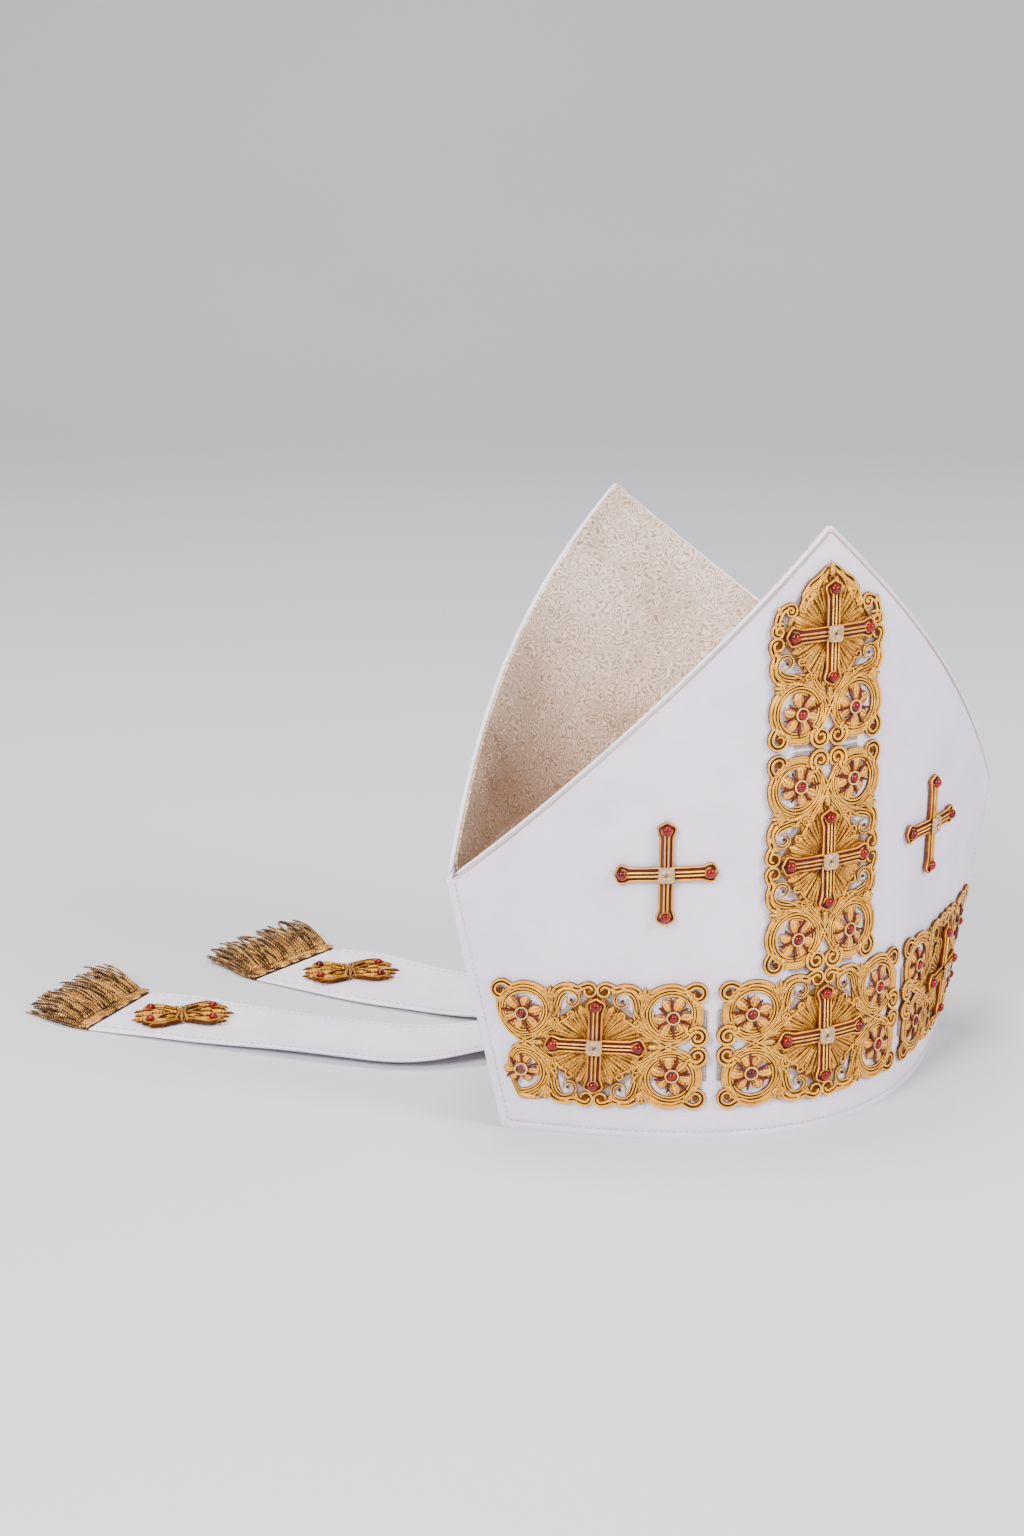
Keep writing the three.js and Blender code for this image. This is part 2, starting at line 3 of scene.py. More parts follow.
import bpy
import numpy as np
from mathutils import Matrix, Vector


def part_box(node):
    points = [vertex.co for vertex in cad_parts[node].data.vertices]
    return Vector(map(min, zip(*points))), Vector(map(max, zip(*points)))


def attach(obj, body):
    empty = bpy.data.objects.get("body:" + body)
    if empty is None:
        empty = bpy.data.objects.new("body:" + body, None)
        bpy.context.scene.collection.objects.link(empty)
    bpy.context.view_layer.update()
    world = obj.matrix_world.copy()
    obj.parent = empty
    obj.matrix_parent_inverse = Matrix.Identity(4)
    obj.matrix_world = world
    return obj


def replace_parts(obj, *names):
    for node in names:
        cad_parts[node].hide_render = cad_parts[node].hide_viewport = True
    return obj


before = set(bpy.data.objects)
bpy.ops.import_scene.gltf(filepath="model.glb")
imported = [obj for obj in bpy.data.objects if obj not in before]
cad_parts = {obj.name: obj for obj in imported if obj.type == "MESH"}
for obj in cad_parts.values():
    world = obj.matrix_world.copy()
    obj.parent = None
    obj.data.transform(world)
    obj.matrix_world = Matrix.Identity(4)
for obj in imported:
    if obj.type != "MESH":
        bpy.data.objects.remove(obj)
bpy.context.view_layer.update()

# --------------------
# Camera. It stands to the left of the mitre's front and higher than its points, and looks
# down at it. Lengths in this file are millimetres in the mitre's own axes, from the middle of
# its foot, until a mesh is made.
# --------------------
MM = 0.001
front_low, front_high = (np.array(corner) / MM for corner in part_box("front_panel"))
back_low, _ = (np.array(corner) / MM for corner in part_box("back_panel"))
FOOT_CENTRE = np.array([
    (front_low[0] + front_high[0]) / 2,
    (front_high[1] + back_low[1]) / 2,
    front_low[2],
])

CAMERA_PLACE = np.array([-720.5, -1037.5, 518.8])
CAMERA_HEADING = math.radians(-30.07)
CAMERA_PITCH = math.radians(-16.22)
CAMERA_LENS = 66.26

camera_data = bpy.data.cameras.new("camera")
camera_data.lens = CAMERA_LENS
camera_data.sensor_width = 36
camera_data.sensor_fit = "AUTO"
camera_data.clip_end = 20
camera = bpy.data.objects.new("camera", camera_data)
camera.location = (FOOT_CENTRE + CAMERA_PLACE) * MM
camera.rotation_euler = (math.pi / 2 + CAMERA_PITCH, 0, CAMERA_HEADING)
bpy.context.scene.collection.objects.link(camera)
bpy.context.scene.camera = camera

# --------------------
# Panels. Front and back are one shape each of white cloth over a stiff interlining, turned in
# round their edges and topstitched. They bend most at the nose and meet in a seam at each side.
# --------------------
HALF_GIRTH_FOOT = 149
HALF_GIRTH_SHOULDER = 182
SHOULDER_HEIGHT = 122
EDGE_HOLLOW = 0.3
SEAM_ANGLE = math.radians(46)
NOSE_TIGHTNESS = 1.7
WALL = 2
GAP = 0.3
SIDES = {
    "front": {"facing": -1, "set_back": 0.15, "apex": 277, "top_motif": 232},
    "back": {"facing": 1, "set_back": 0, "apex": 267.5, "top_motif": 229.6},
}
PLAN_STEPS = 400
HEM_STITCH_INSET = 4
HEM_GROOVE_DEPTH = 0.28
HEM_GROOVE_WIDTH = 0.9
PANEL_COLUMNS = 141
SEAM_COLUMNS = 11                # more of them, close together where the seams' stitches lie
PANEL_ROWS = 56
HEM_ROWS = 15                    # and more at the foot, up to HEM_SHARE of the height
HEM_SHARE = 0.045
FOOT_ROUND_DEPTH = 0.35
FOOT_ROUND_HEIGHT = 0.5
WAVE_DEPTH = 0.22


def cloth_direction(share):
    """How far the cloth has turned at a share of its half width: a tanh curve up to the seam's angle."""
    return SEAM_ANGLE * np.tanh(NOSE_TIGHTNESS * share) / np.tanh(NOSE_TIGHTNESS)


plan_turn = cloth_direction((np.arange(PLAN_STEPS) + 0.5) / PLAN_STEPS)
PLAN_SHARES = np.linspace(0, 1, PLAN_STEPS + 1)
PLAN_X = np.concatenate([[0], np.cumsum(np.cos(plan_turn)) / PLAN_STEPS])
PLAN_Y = np.concatenate([[0], np.cumsum(np.sin(plan_turn)) / PLAN_STEPS])


def half_girth(height):
    """Middle of the panel to its seam, along the cloth: it widens evenly up to the shoulder."""
    return HALF_GIRTH_FOOT + (HALF_GIRTH_SHOULDER - HALF_GIRTH_FOOT) * height / SHOULDER_HEIGHT


def top_edge(side, share):
    """Height of the horn's edge: a straight line from shoulder to point, hollowed by a parabola."""
    s = np.abs(share)
    return SHOULDER_HEIGHT + (side["apex"] - SHOULDER_HEIGHT) * (1 - s) * (1 - EDGE_HOLLOW * s)


def on_cloth(side, share, height, lift):
    """Points of a panel's outer face. The plan curve is scaled by the half girth, leant back with
    height, and moved off the face by lift along the face's plan normal. share runs -1 to 1 to the right."""
    share, height, lift = np.broadcast_arrays(share, height, lift)
    s = np.clip(np.abs(share), 0, 1)
    half = half_girth(height)
    across = half * np.interp(s, PLAN_SHARES, PLAN_X) * np.sign(share)
    lean = side["set_back"] * height * (1 - s * s)
    depth = half * (PLAN_Y[-1] - np.interp(s, PLAN_SHARES, PLAN_Y)) - lean
    turn = cloth_direction(share)
    x = -side["facing"] * (across + lift * np.sin(turn))
    y = side["facing"] * (depth + GAP / 2 + lift * np.cos(turn))
    return np.stack([x, y, height], axis=-1)


def grid_faces(rows, columns, start=0, turned=False):
    """Quads of a grid of points, row by row, and each corner's row and column."""
    row, column = np.meshgrid(np.arange(rows - 1), np.arange(columns - 1), indexing="ij")
    steps = [(0, 0), (0, 1), (1, 1), (1, 0)]
    if turned:
        steps = steps[::-1]
    corner_rows = np.stack([row + down for down, _ in steps], axis=-1).reshape(-1, 4)
    corner_columns = np.stack([column + over for _, over in steps], axis=-1).reshape(-1, 4)
    return start + corner_rows * columns + corner_columns, corner_rows, corner_columns


def ring_faces(rings, sides, turned=False):
    """Quads between rings of points that close on themselves, and each quad's ring and spoke."""
    ring, spoke = np.meshgrid(np.arange(rings - 1), np.arange(sides), indexing="ij")
    after = (spoke + 1) % sides
    quads = np.stack([ring * sides + spoke, ring * sides + after,
                      (ring + 1) * sides + after, (ring + 1) * sides + spoke], axis=-1).reshape(-1, 4)
    return quads[:, [0, 3, 2, 1]] if turned else quads, ring, spoke


def put(name, points, faces, corners, finishes, kinds=None, crease=40):
    """A piece from points in millimetres, faces of any number of corners, and a flat place in
    millimetres for each face corner. kinds says which finish each face has."""
    mesh = bpy.data.meshes.new(name)
    mesh.from_pydata((points + FOOT_CENTRE) * MM, [], faces)
    layer = mesh.uv_layers.new(name="cloth")
    layer.data.foreach_set("uv", np.asarray(corners, np.float32).ravel())
    for finish in finishes:
        mesh.materials.append(finish)
    if kinds is not None:
        mesh.polygons.foreach_set("material_index", np.asarray(kinds, np.int32))
    mesh.shade_smooth()
    mesh.set_sharp_from_angle(angle=math.radians(crease))
    piece = bpy.data.objects.new(name, mesh)
    bpy.context.scene.collection.objects.link(piece)
    return piece


def sheet_piece(name, outer, inner, flat, finishes, crease=40):
    """A closed sheet between two grids of points, outer and inner, with its four rims closed.
    flat gives each grid point's place on the cloth in millimetres."""
    rows, columns = outer.shape[:2]
    count = rows * columns
    top, top_rows, top_columns = grid_faces(rows, columns)
    under, under_rows, under_columns = grid_faces(rows, columns, count, turned=True)
    ring_rows = np.concatenate([
        np.zeros(columns - 1, int), np.arange(rows - 1),
        np.full(columns - 1, rows - 1), np.arange(rows - 1, 0, -1),
    ])
    ring_columns = np.concatenate([
        np.arange(columns - 1), np.full(rows - 1, columns - 1),
        np.arange(columns - 1, 0, -1), np.zeros(rows - 1, int),
    ])
    ring = ring_rows * columns + ring_columns
    after = np.roll(ring, -1)
    rim = np.stack([after, ring, ring + count, after + count], axis=-1)
    next_rows = np.roll(ring_rows, -1)
    rim_rows = np.stack([next_rows, ring_rows, ring_rows, next_rows], axis=-1)
    next_columns = np.roll(ring_columns, -1)
    rim_columns = np.stack([next_columns, ring_columns, ring_columns, next_columns], axis=-1)
    points = np.concatenate([outer.reshape(-1, 3), inner.reshape(-1, 3)])
    faces = np.concatenate([top, under, rim])
    corner_rows = np.concatenate([top_rows, under_rows, rim_rows])
    corner_columns = np.concatenate([top_columns, under_columns, rim_columns])
    corners = flat[corner_rows, corner_columns]
    return put(name, points, faces.tolist(), corners, finishes, crease=crease)


class Level:
    """A value on its way through a material. + - * and ** add a Math node each."""

    def __init__(self, finish, socket):
        self.finish = finish
        self.socket = socket

    def work(self, operation, *values):
        return self.finish.node("Math", {"operation": operation}, dict(enumerate(values)))

    def __add__(self, other):
        return self.work("ADD", self, other)

    def __radd__(self, other):
        return self.work("ADD", other, self)

    def __sub__(self, other):
        return self.work("SUBTRACT", self, other)

    def __rsub__(self, other):
        return self.work("SUBTRACT", other, self)

    def __mul__(self, other):
        return self.work("MULTIPLY", self, other)

    def __rmul__(self, other):
        return self.work("MULTIPLY", other, self)

    def __pow__(self, other):
        return self.work("POWER", self, other)

    def __abs__(self):
        return self.work("ABSOLUTE", self)

    def sine(self):
        return self.work("SINE", self)

    def ramp(self, low, high):
        """0 below low, 1 above high and a smooth step between them."""
        settings = {"interpolation_type": "SMOOTHSTEP"}
        return self.finish.node("MapRange", settings, {"Value": self, "From Min": low, "From Max": high})


class Finish:
    """A material in the making, around one Principled shader whose plain sockets are set by name."""

    def __init__(self, name, **plain):
        self.material = bpy.data.materials.new(name)
        self.material.use_nodes = True
        self.nodes = self.material.node_tree.nodes
        self.links = self.material.node_tree.links
        self.shader = self.nodes["Principled BSDF"]
        for socket, value in plain.items():
            self.feed(self.shader.inputs[socket.replace("_", " ")], value)

    def feed(self, socket, value):
        if isinstance(value, Level):
            self.links.new(value.socket, socket)
        else:
            socket.default_value = value

    def node(self, kind, settings=None, inputs=None, output=0):
        """Adds a node: its settings are set first, then its sockets get values or links."""
        node = self.nodes.new("ShaderNode" + kind)
        for name, value in (settings or {}).items():
            setattr(node, name, value)
        for socket, value in (inputs or {}).items():
            self.feed(node.inputs[socket], value)
        return Level(self, node.outputs[output])

    def cloth_place(self):
        """The place on the cloth in millimetres, as a vector and as its two numbers."""
        place = self.node("UVMap", {"uv_map": "cloth"})
        split = self.node("SeparateXYZ", None, {0: place})
        return place, split, Level(self, split.socket.node.outputs[1])

    def body_place(self):
        return self.node("TexCoord", output="Object")

    def noise(self, place, scale, detail=2.0, roughness=0.5):
        inputs = {"Vector": place, "Scale": scale, "Detail": detail, "Roughness": roughness}
        return self.node("TexNoise", None, inputs)

    def mix(self, first, second, share):
        settings = {"data_type": "RGBA"}
        return self.node("Mix", settings, {0: share, 6: first, 7: second}, output=2)

    def bump(self, height, depth):
        bumped = self.node("Bump", None, {"Height": height, "Distance": depth * MM, "Strength": 1.0})
        self.feed(self.shader.inputs["Normal"], bumped)

    def done(self, **varied):
        for socket, value in varied.items():
            self.feed(self.shader.inputs[socket.replace("_", " ")], value)
        return self.material


def white_cloth(name, tint=(0.92, 0.825, 0.95, 1)):
    """Fine plain weave: warp and weft are two sine waves at right angles in the cloth's own plane,
    with slubs from a stretched noise and slow clouds of tone."""
    cloth = Finish(name, Sheen_Weight=0.25, Sheen_Roughness=0.4, Specular_IOR_Level=0.35)
    place, along, up = cloth.cloth_place()
    thread = 2 * math.pi / 0.62
    warp = (along * thread).sine()
    weft = (up * thread).sine()
    weave = warp * weft
    slubs = cloth.noise(cloth.node("Mapping", None, {"Vector": place, "Scale": (0.12, 1.3, 1)}), 1.0)
    clouds = cloth.noise(place, 0.035, 3)
    shade = weave * 0.06 + slubs * 0.35 + clouds * 0.9
    dark = tuple(0.86 * c for c in tint[:3]) + (1,)
    colour = cloth.mix(dark, tint, shade.ramp(0.25, 0.85))
    cloth.bump(weave * 0.5 + slubs, 0.11)
    return cloth.done(Base_Color=colour, Roughness=clouds * 0.2 + 0.62)


def panel_shares():
    """Grid columns over the whole width, closer together by the seams where the stitching lies."""
    even = np.linspace(-1, 1, PANEL_COLUMNS)
    inset = HEM_STITCH_INSET / HALF_GIRTH_SHOULDER
    near = 1 - inset + np.linspace(-0.9 * inset, 0.9 * inset, SEAM_COLUMNS)
    return np.unique(np.round(np.concatenate([even, near, -near]), 6))


def panel_heights():
    """Grid rows from foot to edge as shares of the height, closer together at the foot's hem."""
    return np.unique(np.concatenate([np.linspace(0, 1, PANEL_ROWS), np.linspace(0, HEM_SHARE, HEM_ROWS)]))


def hem_groove(share, height):
    """How far the topstitching draws the cloth in: a bell curve across the line of stitches along
    the foot and the seams."""
    nearest = np.minimum((1 - np.abs(share)) * half_girth(height), height)
    return HEM_GROOVE_DEPTH * np.exp(-((nearest - HEM_STITCH_INSET) / HEM_GROOVE_WIDTH) ** 2)


def cloth_unevenness(share, height, seed):
    """Slow shallow waves of a stiffened cloth, never above its true face."""
    wave = np.sin(5.1 * share + 0.023 * height + seed) * np.sin(0.031 * height - 3.3 * share + 2 * seed)
    return WAVE_DEPTH * (wave - 1) * (1 - share ** 6)


WHITE = white_cloth("white_cloth")
for number, (side_name, side) in enumerate(SIDES.items()):
    share, part = np.meshgrid(panel_shares(), panel_heights())
    height = part * top_edge(side, share)
    edge_round = FOOT_ROUND_DEPTH * np.exp(-height / FOOT_ROUND_HEIGHT)
    lift = cloth_unevenness(share, height, number) - hem_groove(share, height) - edge_round
    outer = on_cloth(side, share, height, lift)
    inner = on_cloth(side, share, height, -WALL)
    seam_reach = on_cloth(side, share, height, 0)
    at_seam = np.abs(share) == 1
    inner[at_seam] = seam_reach[at_seam]
    inner[at_seam, 0] -= np.sign(seam_reach[at_seam, 0]) * WALL / math.sin(SEAM_ANGLE)
    outer[at_seam] = seam_reach[at_seam]
    flat = np.stack([share * half_girth(height), height], axis=-1)
    panel = sheet_piece(f"{side_name}_cloth", outer, inner, flat, [WHITE])
    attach(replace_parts(panel, f"{side_name}_panel"), "root")
    steps = np.linspace(-1, 1, 400)
    edge = top_edge(side, steps)
    flat_area = 2 * np.mean(half_girth(edge / 2) * edge)

# --------------------
# Topstitching: thread slightly darker than the cloth, in short straight stitches a fixed distance
# inside the foot and the seams of each panel, and a brown seam thread along its slanting edges, whose
# brown is painted shadow of the groove under the rolled edge.
# --------------------
STITCH_PITCH = 2.9
STITCH_LENGTH = 2.0
STITCH_WIDTH = 0.42
STITCH_HEIGHT = 0.4
STITCH_SINK = 0.3
SEAM_THREAD_WIDTH = 0.7
SEAM_THREAD_SINK = 0.2


def smooth_route(points, steps=8):
    """A Catmull-Rom curve through the points, as many steps to a span."""
    points = np.asarray(points, float)
    padded = np.vstack([2 * points[0] - points[1], points, 2 * points[-1] - points[-2]])
    before, start, end, after = (padded[i:len(padded) - 3 + i, None] for i in range(4))
    t = np.linspace(0, 1, steps, endpoint=False)[None, :, None]
    curve = 0.5 * (2 * start + (end - before) * t + (2 * before - 5 * start + 4 * end - after) * t ** 2
                   + (3 * start - before - 3 * end + after) * t ** 3)
    return np.vstack([curve.reshape(-1, points.shape[1]), points[-1:]])


def even_route(route, step):
    """The same line with points a fixed distance apart."""
    gone = np.concatenate([[0], np.cumsum(np.linalg.norm(np.diff(route, axis=0), axis=1))])
    count = max(int(round(gone[-1] / step)), 2)
    at = np.linspace(0, gone[-1], count + 1)
    return np.stack([np.interp(at, gone, route[:, i]) for i in range(route.shape[1])], axis=-1)


def side_normals(route):
    """Unit normals, to the left of a flat route's direction."""
    along = np.gradient(route[:, :2], axis=0)
    along /= np.maximum(np.linalg.norm(along, axis=1, keepdims=True), 1e-9)
    return np.stack([-along[:, 1], along[:, 0]], axis=-1)


NO_POINTS = np.empty((0, 3))


class Needlework:
    """Closed strands laid flat in millimetres, X to the right, Y up and Z out of the cloth,
    gathered in one set of arrays."""

    def __init__(self):
        self.points, self.faces, self.corners, self.kinds, self.anchors = [], [], [], [], []
        self.count = 0
        self.anchor = None

    def strand(self, route, width, height, lift=0.0, kind=0, sides=6, ends=0.35):
        """A tube along a route. Its section is an ellipse of the given width and height standing on
        lift; both shrink to a share, ends, in the last tenth at either end. Numbers or arrays."""
        route = np.asarray(route, float)
        count = len(route)
        t = np.linspace(0, 1, count)
        close = np.clip(np.minimum(t, 1 - t) / 0.1, 0, 1)
        swell = ends + (1 - ends) * np.sqrt(close * (2 - close))
        angle = 2 * np.pi * np.arange(sides) / sides
        beside = -np.sin(angle)[None] * (width * swell)[:, None] / 2
        above = lift + (1 - np.cos(angle))[None] * (height * swell)[:, None] / 2
        normal = side_normals(route)
        if route.shape[1] == 3:
            above = above + route[:, 2:]
        level = route[:, None, :2] + normal[:, None] * beside[..., None]
        points = np.concatenate([level, above[..., None]], axis=-1)
        quads, ring, spoke = ring_faces(count, sides, turned=True)
        gone = np.concatenate([[0], np.cumsum(np.linalg.norm(np.diff(route[:, :2], axis=0), axis=1))])
        u = np.stack([gone[ring], gone[ring + 1], gone[ring + 1], gone[ring]], axis=-1)
        v = np.stack([spoke, spoke, spoke + 1, spoke + 1], axis=-1) / sides
        self.add(points.reshape(-1, 3), quads, np.stack([u, v], axis=-1).reshape(-1, 4, 2), kind)
        first = np.arange(sides)[None]
        last = (count - 1) * sides + np.arange(sides)[::-1][None]
        middle = np.full((1, sides, 2), 0.5)
        self.add(NO_POINTS, first - count * sides, middle, kind)
        self.add(NO_POINTS, last - count * sides, middle + [[[gone[-1], 0]]], kind)

    def add(self, points, faces, corners, kind):
        self.points.append(points)
        held = points[:, :2] if self.anchor is None else np.broadcast_to(self.anchor, (len(points), 2))
        self.anchors.append(held)
        self.faces.extend((np.asarray(faces) + self.count).tolist())
        self.corners.append(corners.reshape(-1, 2))
        self.kinds.extend([kind] * len(faces))
        self.count += len(points)

    def dome(self, centre, radius, height, lift, kind, rings=6, sides=14):
        """A bead: half a turn of an ellipse carried round its upright axis, closed at both poles."""
        angle = np.pi * np.arange(1, rings) / rings
        turn = 2 * np.pi * np.arange(sides) / sides
        out = np.sin(angle)[:, None] * radius
        ring_points = np.stack([
            centre[0] + out * np.cos(turn), centre[1] + out * np.sin(turn),
            np.broadcast_to(lift + height * (1 - np.cos(angle)[:, None]) / 2, (rings - 1, sides)),
        ], axis=-1).reshape(-1, 3)
        poles = np.array([[*centre, lift], [*centre, lift + height]])
        start = len(poles)
        quads = start + ring_faces(rings - 1, sides)[0]
        around = np.arange(sides)
        beyond = (around + 1) % sides
        low = np.stack([np.zeros(sides, int), start + beyond, start + around], axis=-1)
        last = start + (rings - 2) * sides
        high = np.stack([np.ones(sides, int), last + around, last + beyond], axis=-1)
        everything = np.vstack([poles, ring_points])
        self.add(everything, quads, everything[quads][..., :2], kind)
        self.add(NO_POINTS, low - len(everything), everything[low][..., :2], kind)
        self.add(NO_POINTS, high - len(everything), everything[high][..., :2], kind)

    def plate(self, outline, thickness, lift, kind):
        """A flat plate with a rounded edge: the outline carried in and up in three steps."""
        outline = np.asarray(outline, float)
        count = len(outline)
        centre = outline.mean(axis=0)
        stages = [(0.97, 0), (1, 0.5), (0.97, 1)]
        rings = [np.column_stack([centre + (outline - centre) * reach, np.full(count, lift + up * thickness)])
                 for reach, up in stages]
        self.stack(np.vstack(rings), count, kind)

    def stack(self, points, sides, kind):
        """A solid of rings of points, one over another, with the first and the last closed flat."""
        quads, _, _ = ring_faces(len(points) // sides, sides)
        self.add(points, quads, points[quads][..., :2], kind)
        for ends in (np.arange(sides)[::-1], len(points) - sides + np.arange(sides)):
            self.add(NO_POINTS, ends[None] - len(points), points[ends][None, :, :2], kind)

    def sewn(self, name, side, along, height, lift, finishes, turned=False, fit=None):
        """Lays the work on a panel about a place on it. turned stands its X axis upright. fit draws
        the flat work in before it is laid: each point moves as its anchor does, so what shares one
        anchor keeps its shape. lift is the distance off the cloth."""
        points = np.vstack(self.points)
        x, y = points[:, 0], points[:, 1]
        if turned:
            x, y = -y, x
        if fit is not None:
            anchor_x, anchor_y = np.vstack(self.anchors).T
            x = x + fit(anchor_x, anchor_y) - anchor_x
        level = height + y
        laid = on_cloth(side, (along + x) / half_girth(level), level, lift + points[:, 2])
        return put(name, laid, self.faces, np.vstack(self.corners), finishes, self.kinds)


def thread_finish(name, colour, roughness=0.6):
    """Sewing thread: a twisted yarn, whose turns show as slanting bands."""
    thread = Finish(name, Sheen_Weight=0.2)
    _, along, around = thread.cloth_place()
    twist = (along * 9 + around * 12.6).sine()
    thread.bump(twist, 0.05)
    dark = tuple(0.8 * c for c in colour[:3]) + (1,)
    return thread.done(Base_Color=thread.mix(dark, colour, twist.ramp(-0.8, 0.5)), Roughness=roughness)


STITCH_THREAD = thread_finish("topstitch_thread", (0.50, 0.47, 0.53, 1))
# Painted shadow: the seam thread's brown stands for the shadow in the groove under the rolled edge.
SEAM_SHADOW_THREAD = thread_finish("seam_shadow_thread", (0.50, 0.34, 0.23, 1))
SEAM_DROP = 0.8
BINDING_END = 0.975


def stitch_lines():
    """Lines that the topstitching follows, as (share, height) pairs: the foot and both seams."""
    inset = HEM_STITCH_INSET
    foot_share = np.linspace(-1, 1, 500) * (1 - inset / HALF_GIRTH_FOOT)
    lines = [np.stack([foot_share, np.full(500, inset)], axis=-1)]
    up = np.linspace(inset, SHOULDER_HEIGHT + 1, 200)
    for way in (-1, 1):
        lines.append(np.stack([way * (1 - inset / half_girth(up)), up], axis=-1))
    return lines


for side_name, side in SIDES.items():
    work = Needlework()
    for line in stitch_lines():
        flat = np.stack([line[:, 0] * half_girth(line[:, 1]), line[:, 1]], axis=-1)
        spots = even_route(flat, STITCH_PITCH)
        middles = (spots[1:] + spots[:-1]) / 2
        ways = (spots[1:] - spots[:-1]) / STITCH_PITCH
        for middle, way in zip(middles, ways):
            reach = way * STITCH_LENGTH / 2
            stitch = [middle - reach, middle, middle + reach]
            work.strand(stitch, STITCH_WIDTH, STITCH_HEIGHT, -STITCH_SINK, sides=5, ends=0.4)
    slope = np.linspace(-BINDING_END, BINDING_END, 300)
    below = top_edge(side, slope) - SEAM_DROP
    seam = np.stack([slope * half_girth(below), below], axis=-1)
    work.strand(seam, SEAM_THREAD_WIDTH, STITCH_HEIGHT, -SEAM_THREAD_SINK, 1, sides=5, ends=0.6)
    topstitch = work.sewn(f"{side_name}_topstitch", side, 0, 0, 0, [STITCH_THREAD, SEAM_SHADOW_THREAD])
    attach(topstitch, "root")

# --------------------
# Edge bindings: a narrow strip of the white cloth rolled round a cord and sewn along each
# horn's slanting edges, just above the seam thread.
# --------------------
BINDING_HEIGHT = 2
BINDING_WIDTH = 2.2
BINDING_STEPS = 220
BINDING_SIDES = 14

BINDING_CLOTH = white_cloth("binding_cloth", (0.96, 0.87, 0.93, 1))
for side_name, side in SIDES.items():
    share = np.linspace(-BINDING_END, BINDING_END, BINDING_STEPS)[:, None]
    angle = (2 * np.pi * np.arange(BINDING_SIDES) / BINDING_SIDES)[None]
    pucker = 1 + 0.03 * np.sin(np.arange(BINDING_STEPS) * 1.9)[:, None]
    end_close = np.sqrt(np.clip((1 - np.abs(share) / BINDING_END) * 40, 0.02, 1))
    swing = np.sin(angle) * pucker * end_close
    lift = (BINDING_WIDTH - WALL) / 2 - BINDING_WIDTH / 2 + BINDING_WIDTH / 2 * swing
    rise = BINDING_HEIGHT / 2 * (1 - np.cos(angle) * pucker * end_close)
    height = top_edge(side, share) + GAP * 0.4 + rise
    points = on_cloth(side, share, height, lift)
    quads, ring, spoke = ring_faces(BINDING_STEPS, BINDING_SIDES, turned=True)
    along = share[:, 0] * HALF_GIRTH_SHOULDER
    corner_u = np.stack([along[ring], along[ring + 1], along[ring + 1], along[ring]], axis=-1)
    corner_v = np.stack([spoke, spoke, spoke + 1, spoke + 1], axis=-1) * 0.6
    cap = np.arange(BINDING_SIDES)
    end_cap = (BINDING_STEPS - 1) * BINDING_SIDES + cap[::-1]
    faces = quads.tolist() + [cap.tolist(), end_cap.tolist()]
    corners = np.stack([corner_u, corner_v], axis=-1).reshape(-1, 2)
    corners = np.vstack([corners, np.zeros((2 * BINDING_SIDES, 2))])
    binding = put(f"{side_name}_rolled_edge", points.reshape(-1, 3), faces, corners, [BINDING_CLOTH])
    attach(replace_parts(binding, f"{side_name}_edge_binding"), "root")

# --------------------
# Lining: beige damask, sewn in against the rolled edges. It falls down inside one horn, bridges
# the valley between them in a soft bow, and climbs the other, with a few slack dents.
# --------------------
LINING_END = 0.945
LINING_RISE = 1.2
LINING_THICKNESS = 1
VALLEY_RIM = 120
VALLEY_RIM_RISE = 12
VALLEY_SAG = 22
VALLEY_FULLNESS = 2.6
LINING_COLUMNS = 121
# A row for each dent: its wall, share of the half panel, height, spreads along and up, and depth.
LINING_DENTS = [
    ("back", -0.62, 176, 0.10, 40, 2.4),
    ("back", -0.10, 190, 0.13, 30, 2.0),
    ("back", 0.30, 165, 0.12, 34, 1.7),
    ("back", 0.02, 228, 0.07, 22, 1.2),
    ("back", -0.38, 205, 0.06, 26, 1.3),
    ("front", 0.45, 170, 0.12, 34, 2.0),
    ("front", -0.30, 180, 0.12, 36, 1.7),
]


def damask():
    """Beige silk with a figure like a thumb print: the crests of a sine wave whose place is warped
    by a slow noise, brown in some places and pale in others, broken by a second noise. The silk is
    painted darker and browner towards the bottom of the valley as painted shade, with slow clouds of darker
    tone."""
    silk = Finish("damask", Sheen_Weight=0.2, Sheen_Roughness=0.35, Specular_IOR_Level=0.3)
    place, along, down = silk.cloth_place()
    swirl = silk.noise(place, 0.085, 1)
    wander = silk.noise(place, 0.5, 2)
    strokes = (swirl * 112 + wander * 7 + down * 1.2 + along * 0.8).sine()
    dashes = silk.noise(place, 0.6, 2)
    brown = strokes.ramp(0.0, 0.7) * dashes.ramp(0.38, 0.56)
    pale = (strokes * -1).ramp(0.2, 0.9) * (1 - dashes).ramp(0.35, 0.6)
    thread = (along * 9.5).sine() * (down * 9.5).sine()
    # Painted shade: the silk darkens towards the bottom of the valley, around the middle of the fall.
    depth = 1 - (abs(down) * 0.01).ramp(0.4, 1.8)
    shade = silk.noise(place, 0.018, 2)
    valley_shade_and_clouds = depth * 0.8 + shade.ramp(0.42, 0.62) * 0.4
    ground = silk.mix((0.90, 0.675, 0.53, 1), (0.40, 0.245, 0.145, 1), valley_shade_and_clouds)
    crests = silk.mix(ground, (0.99, 0.90, 0.81, 1), pale * 0.5)
    colour = silk.mix(crests, (0.24, 0.12, 0.06, 1), brown * 0.7)
    silk.bump(brown * 0.8 + thread * 0.25, 0.15)
    return silk.done(Base_Color=colour, Roughness=0.7 - brown * 0.15)


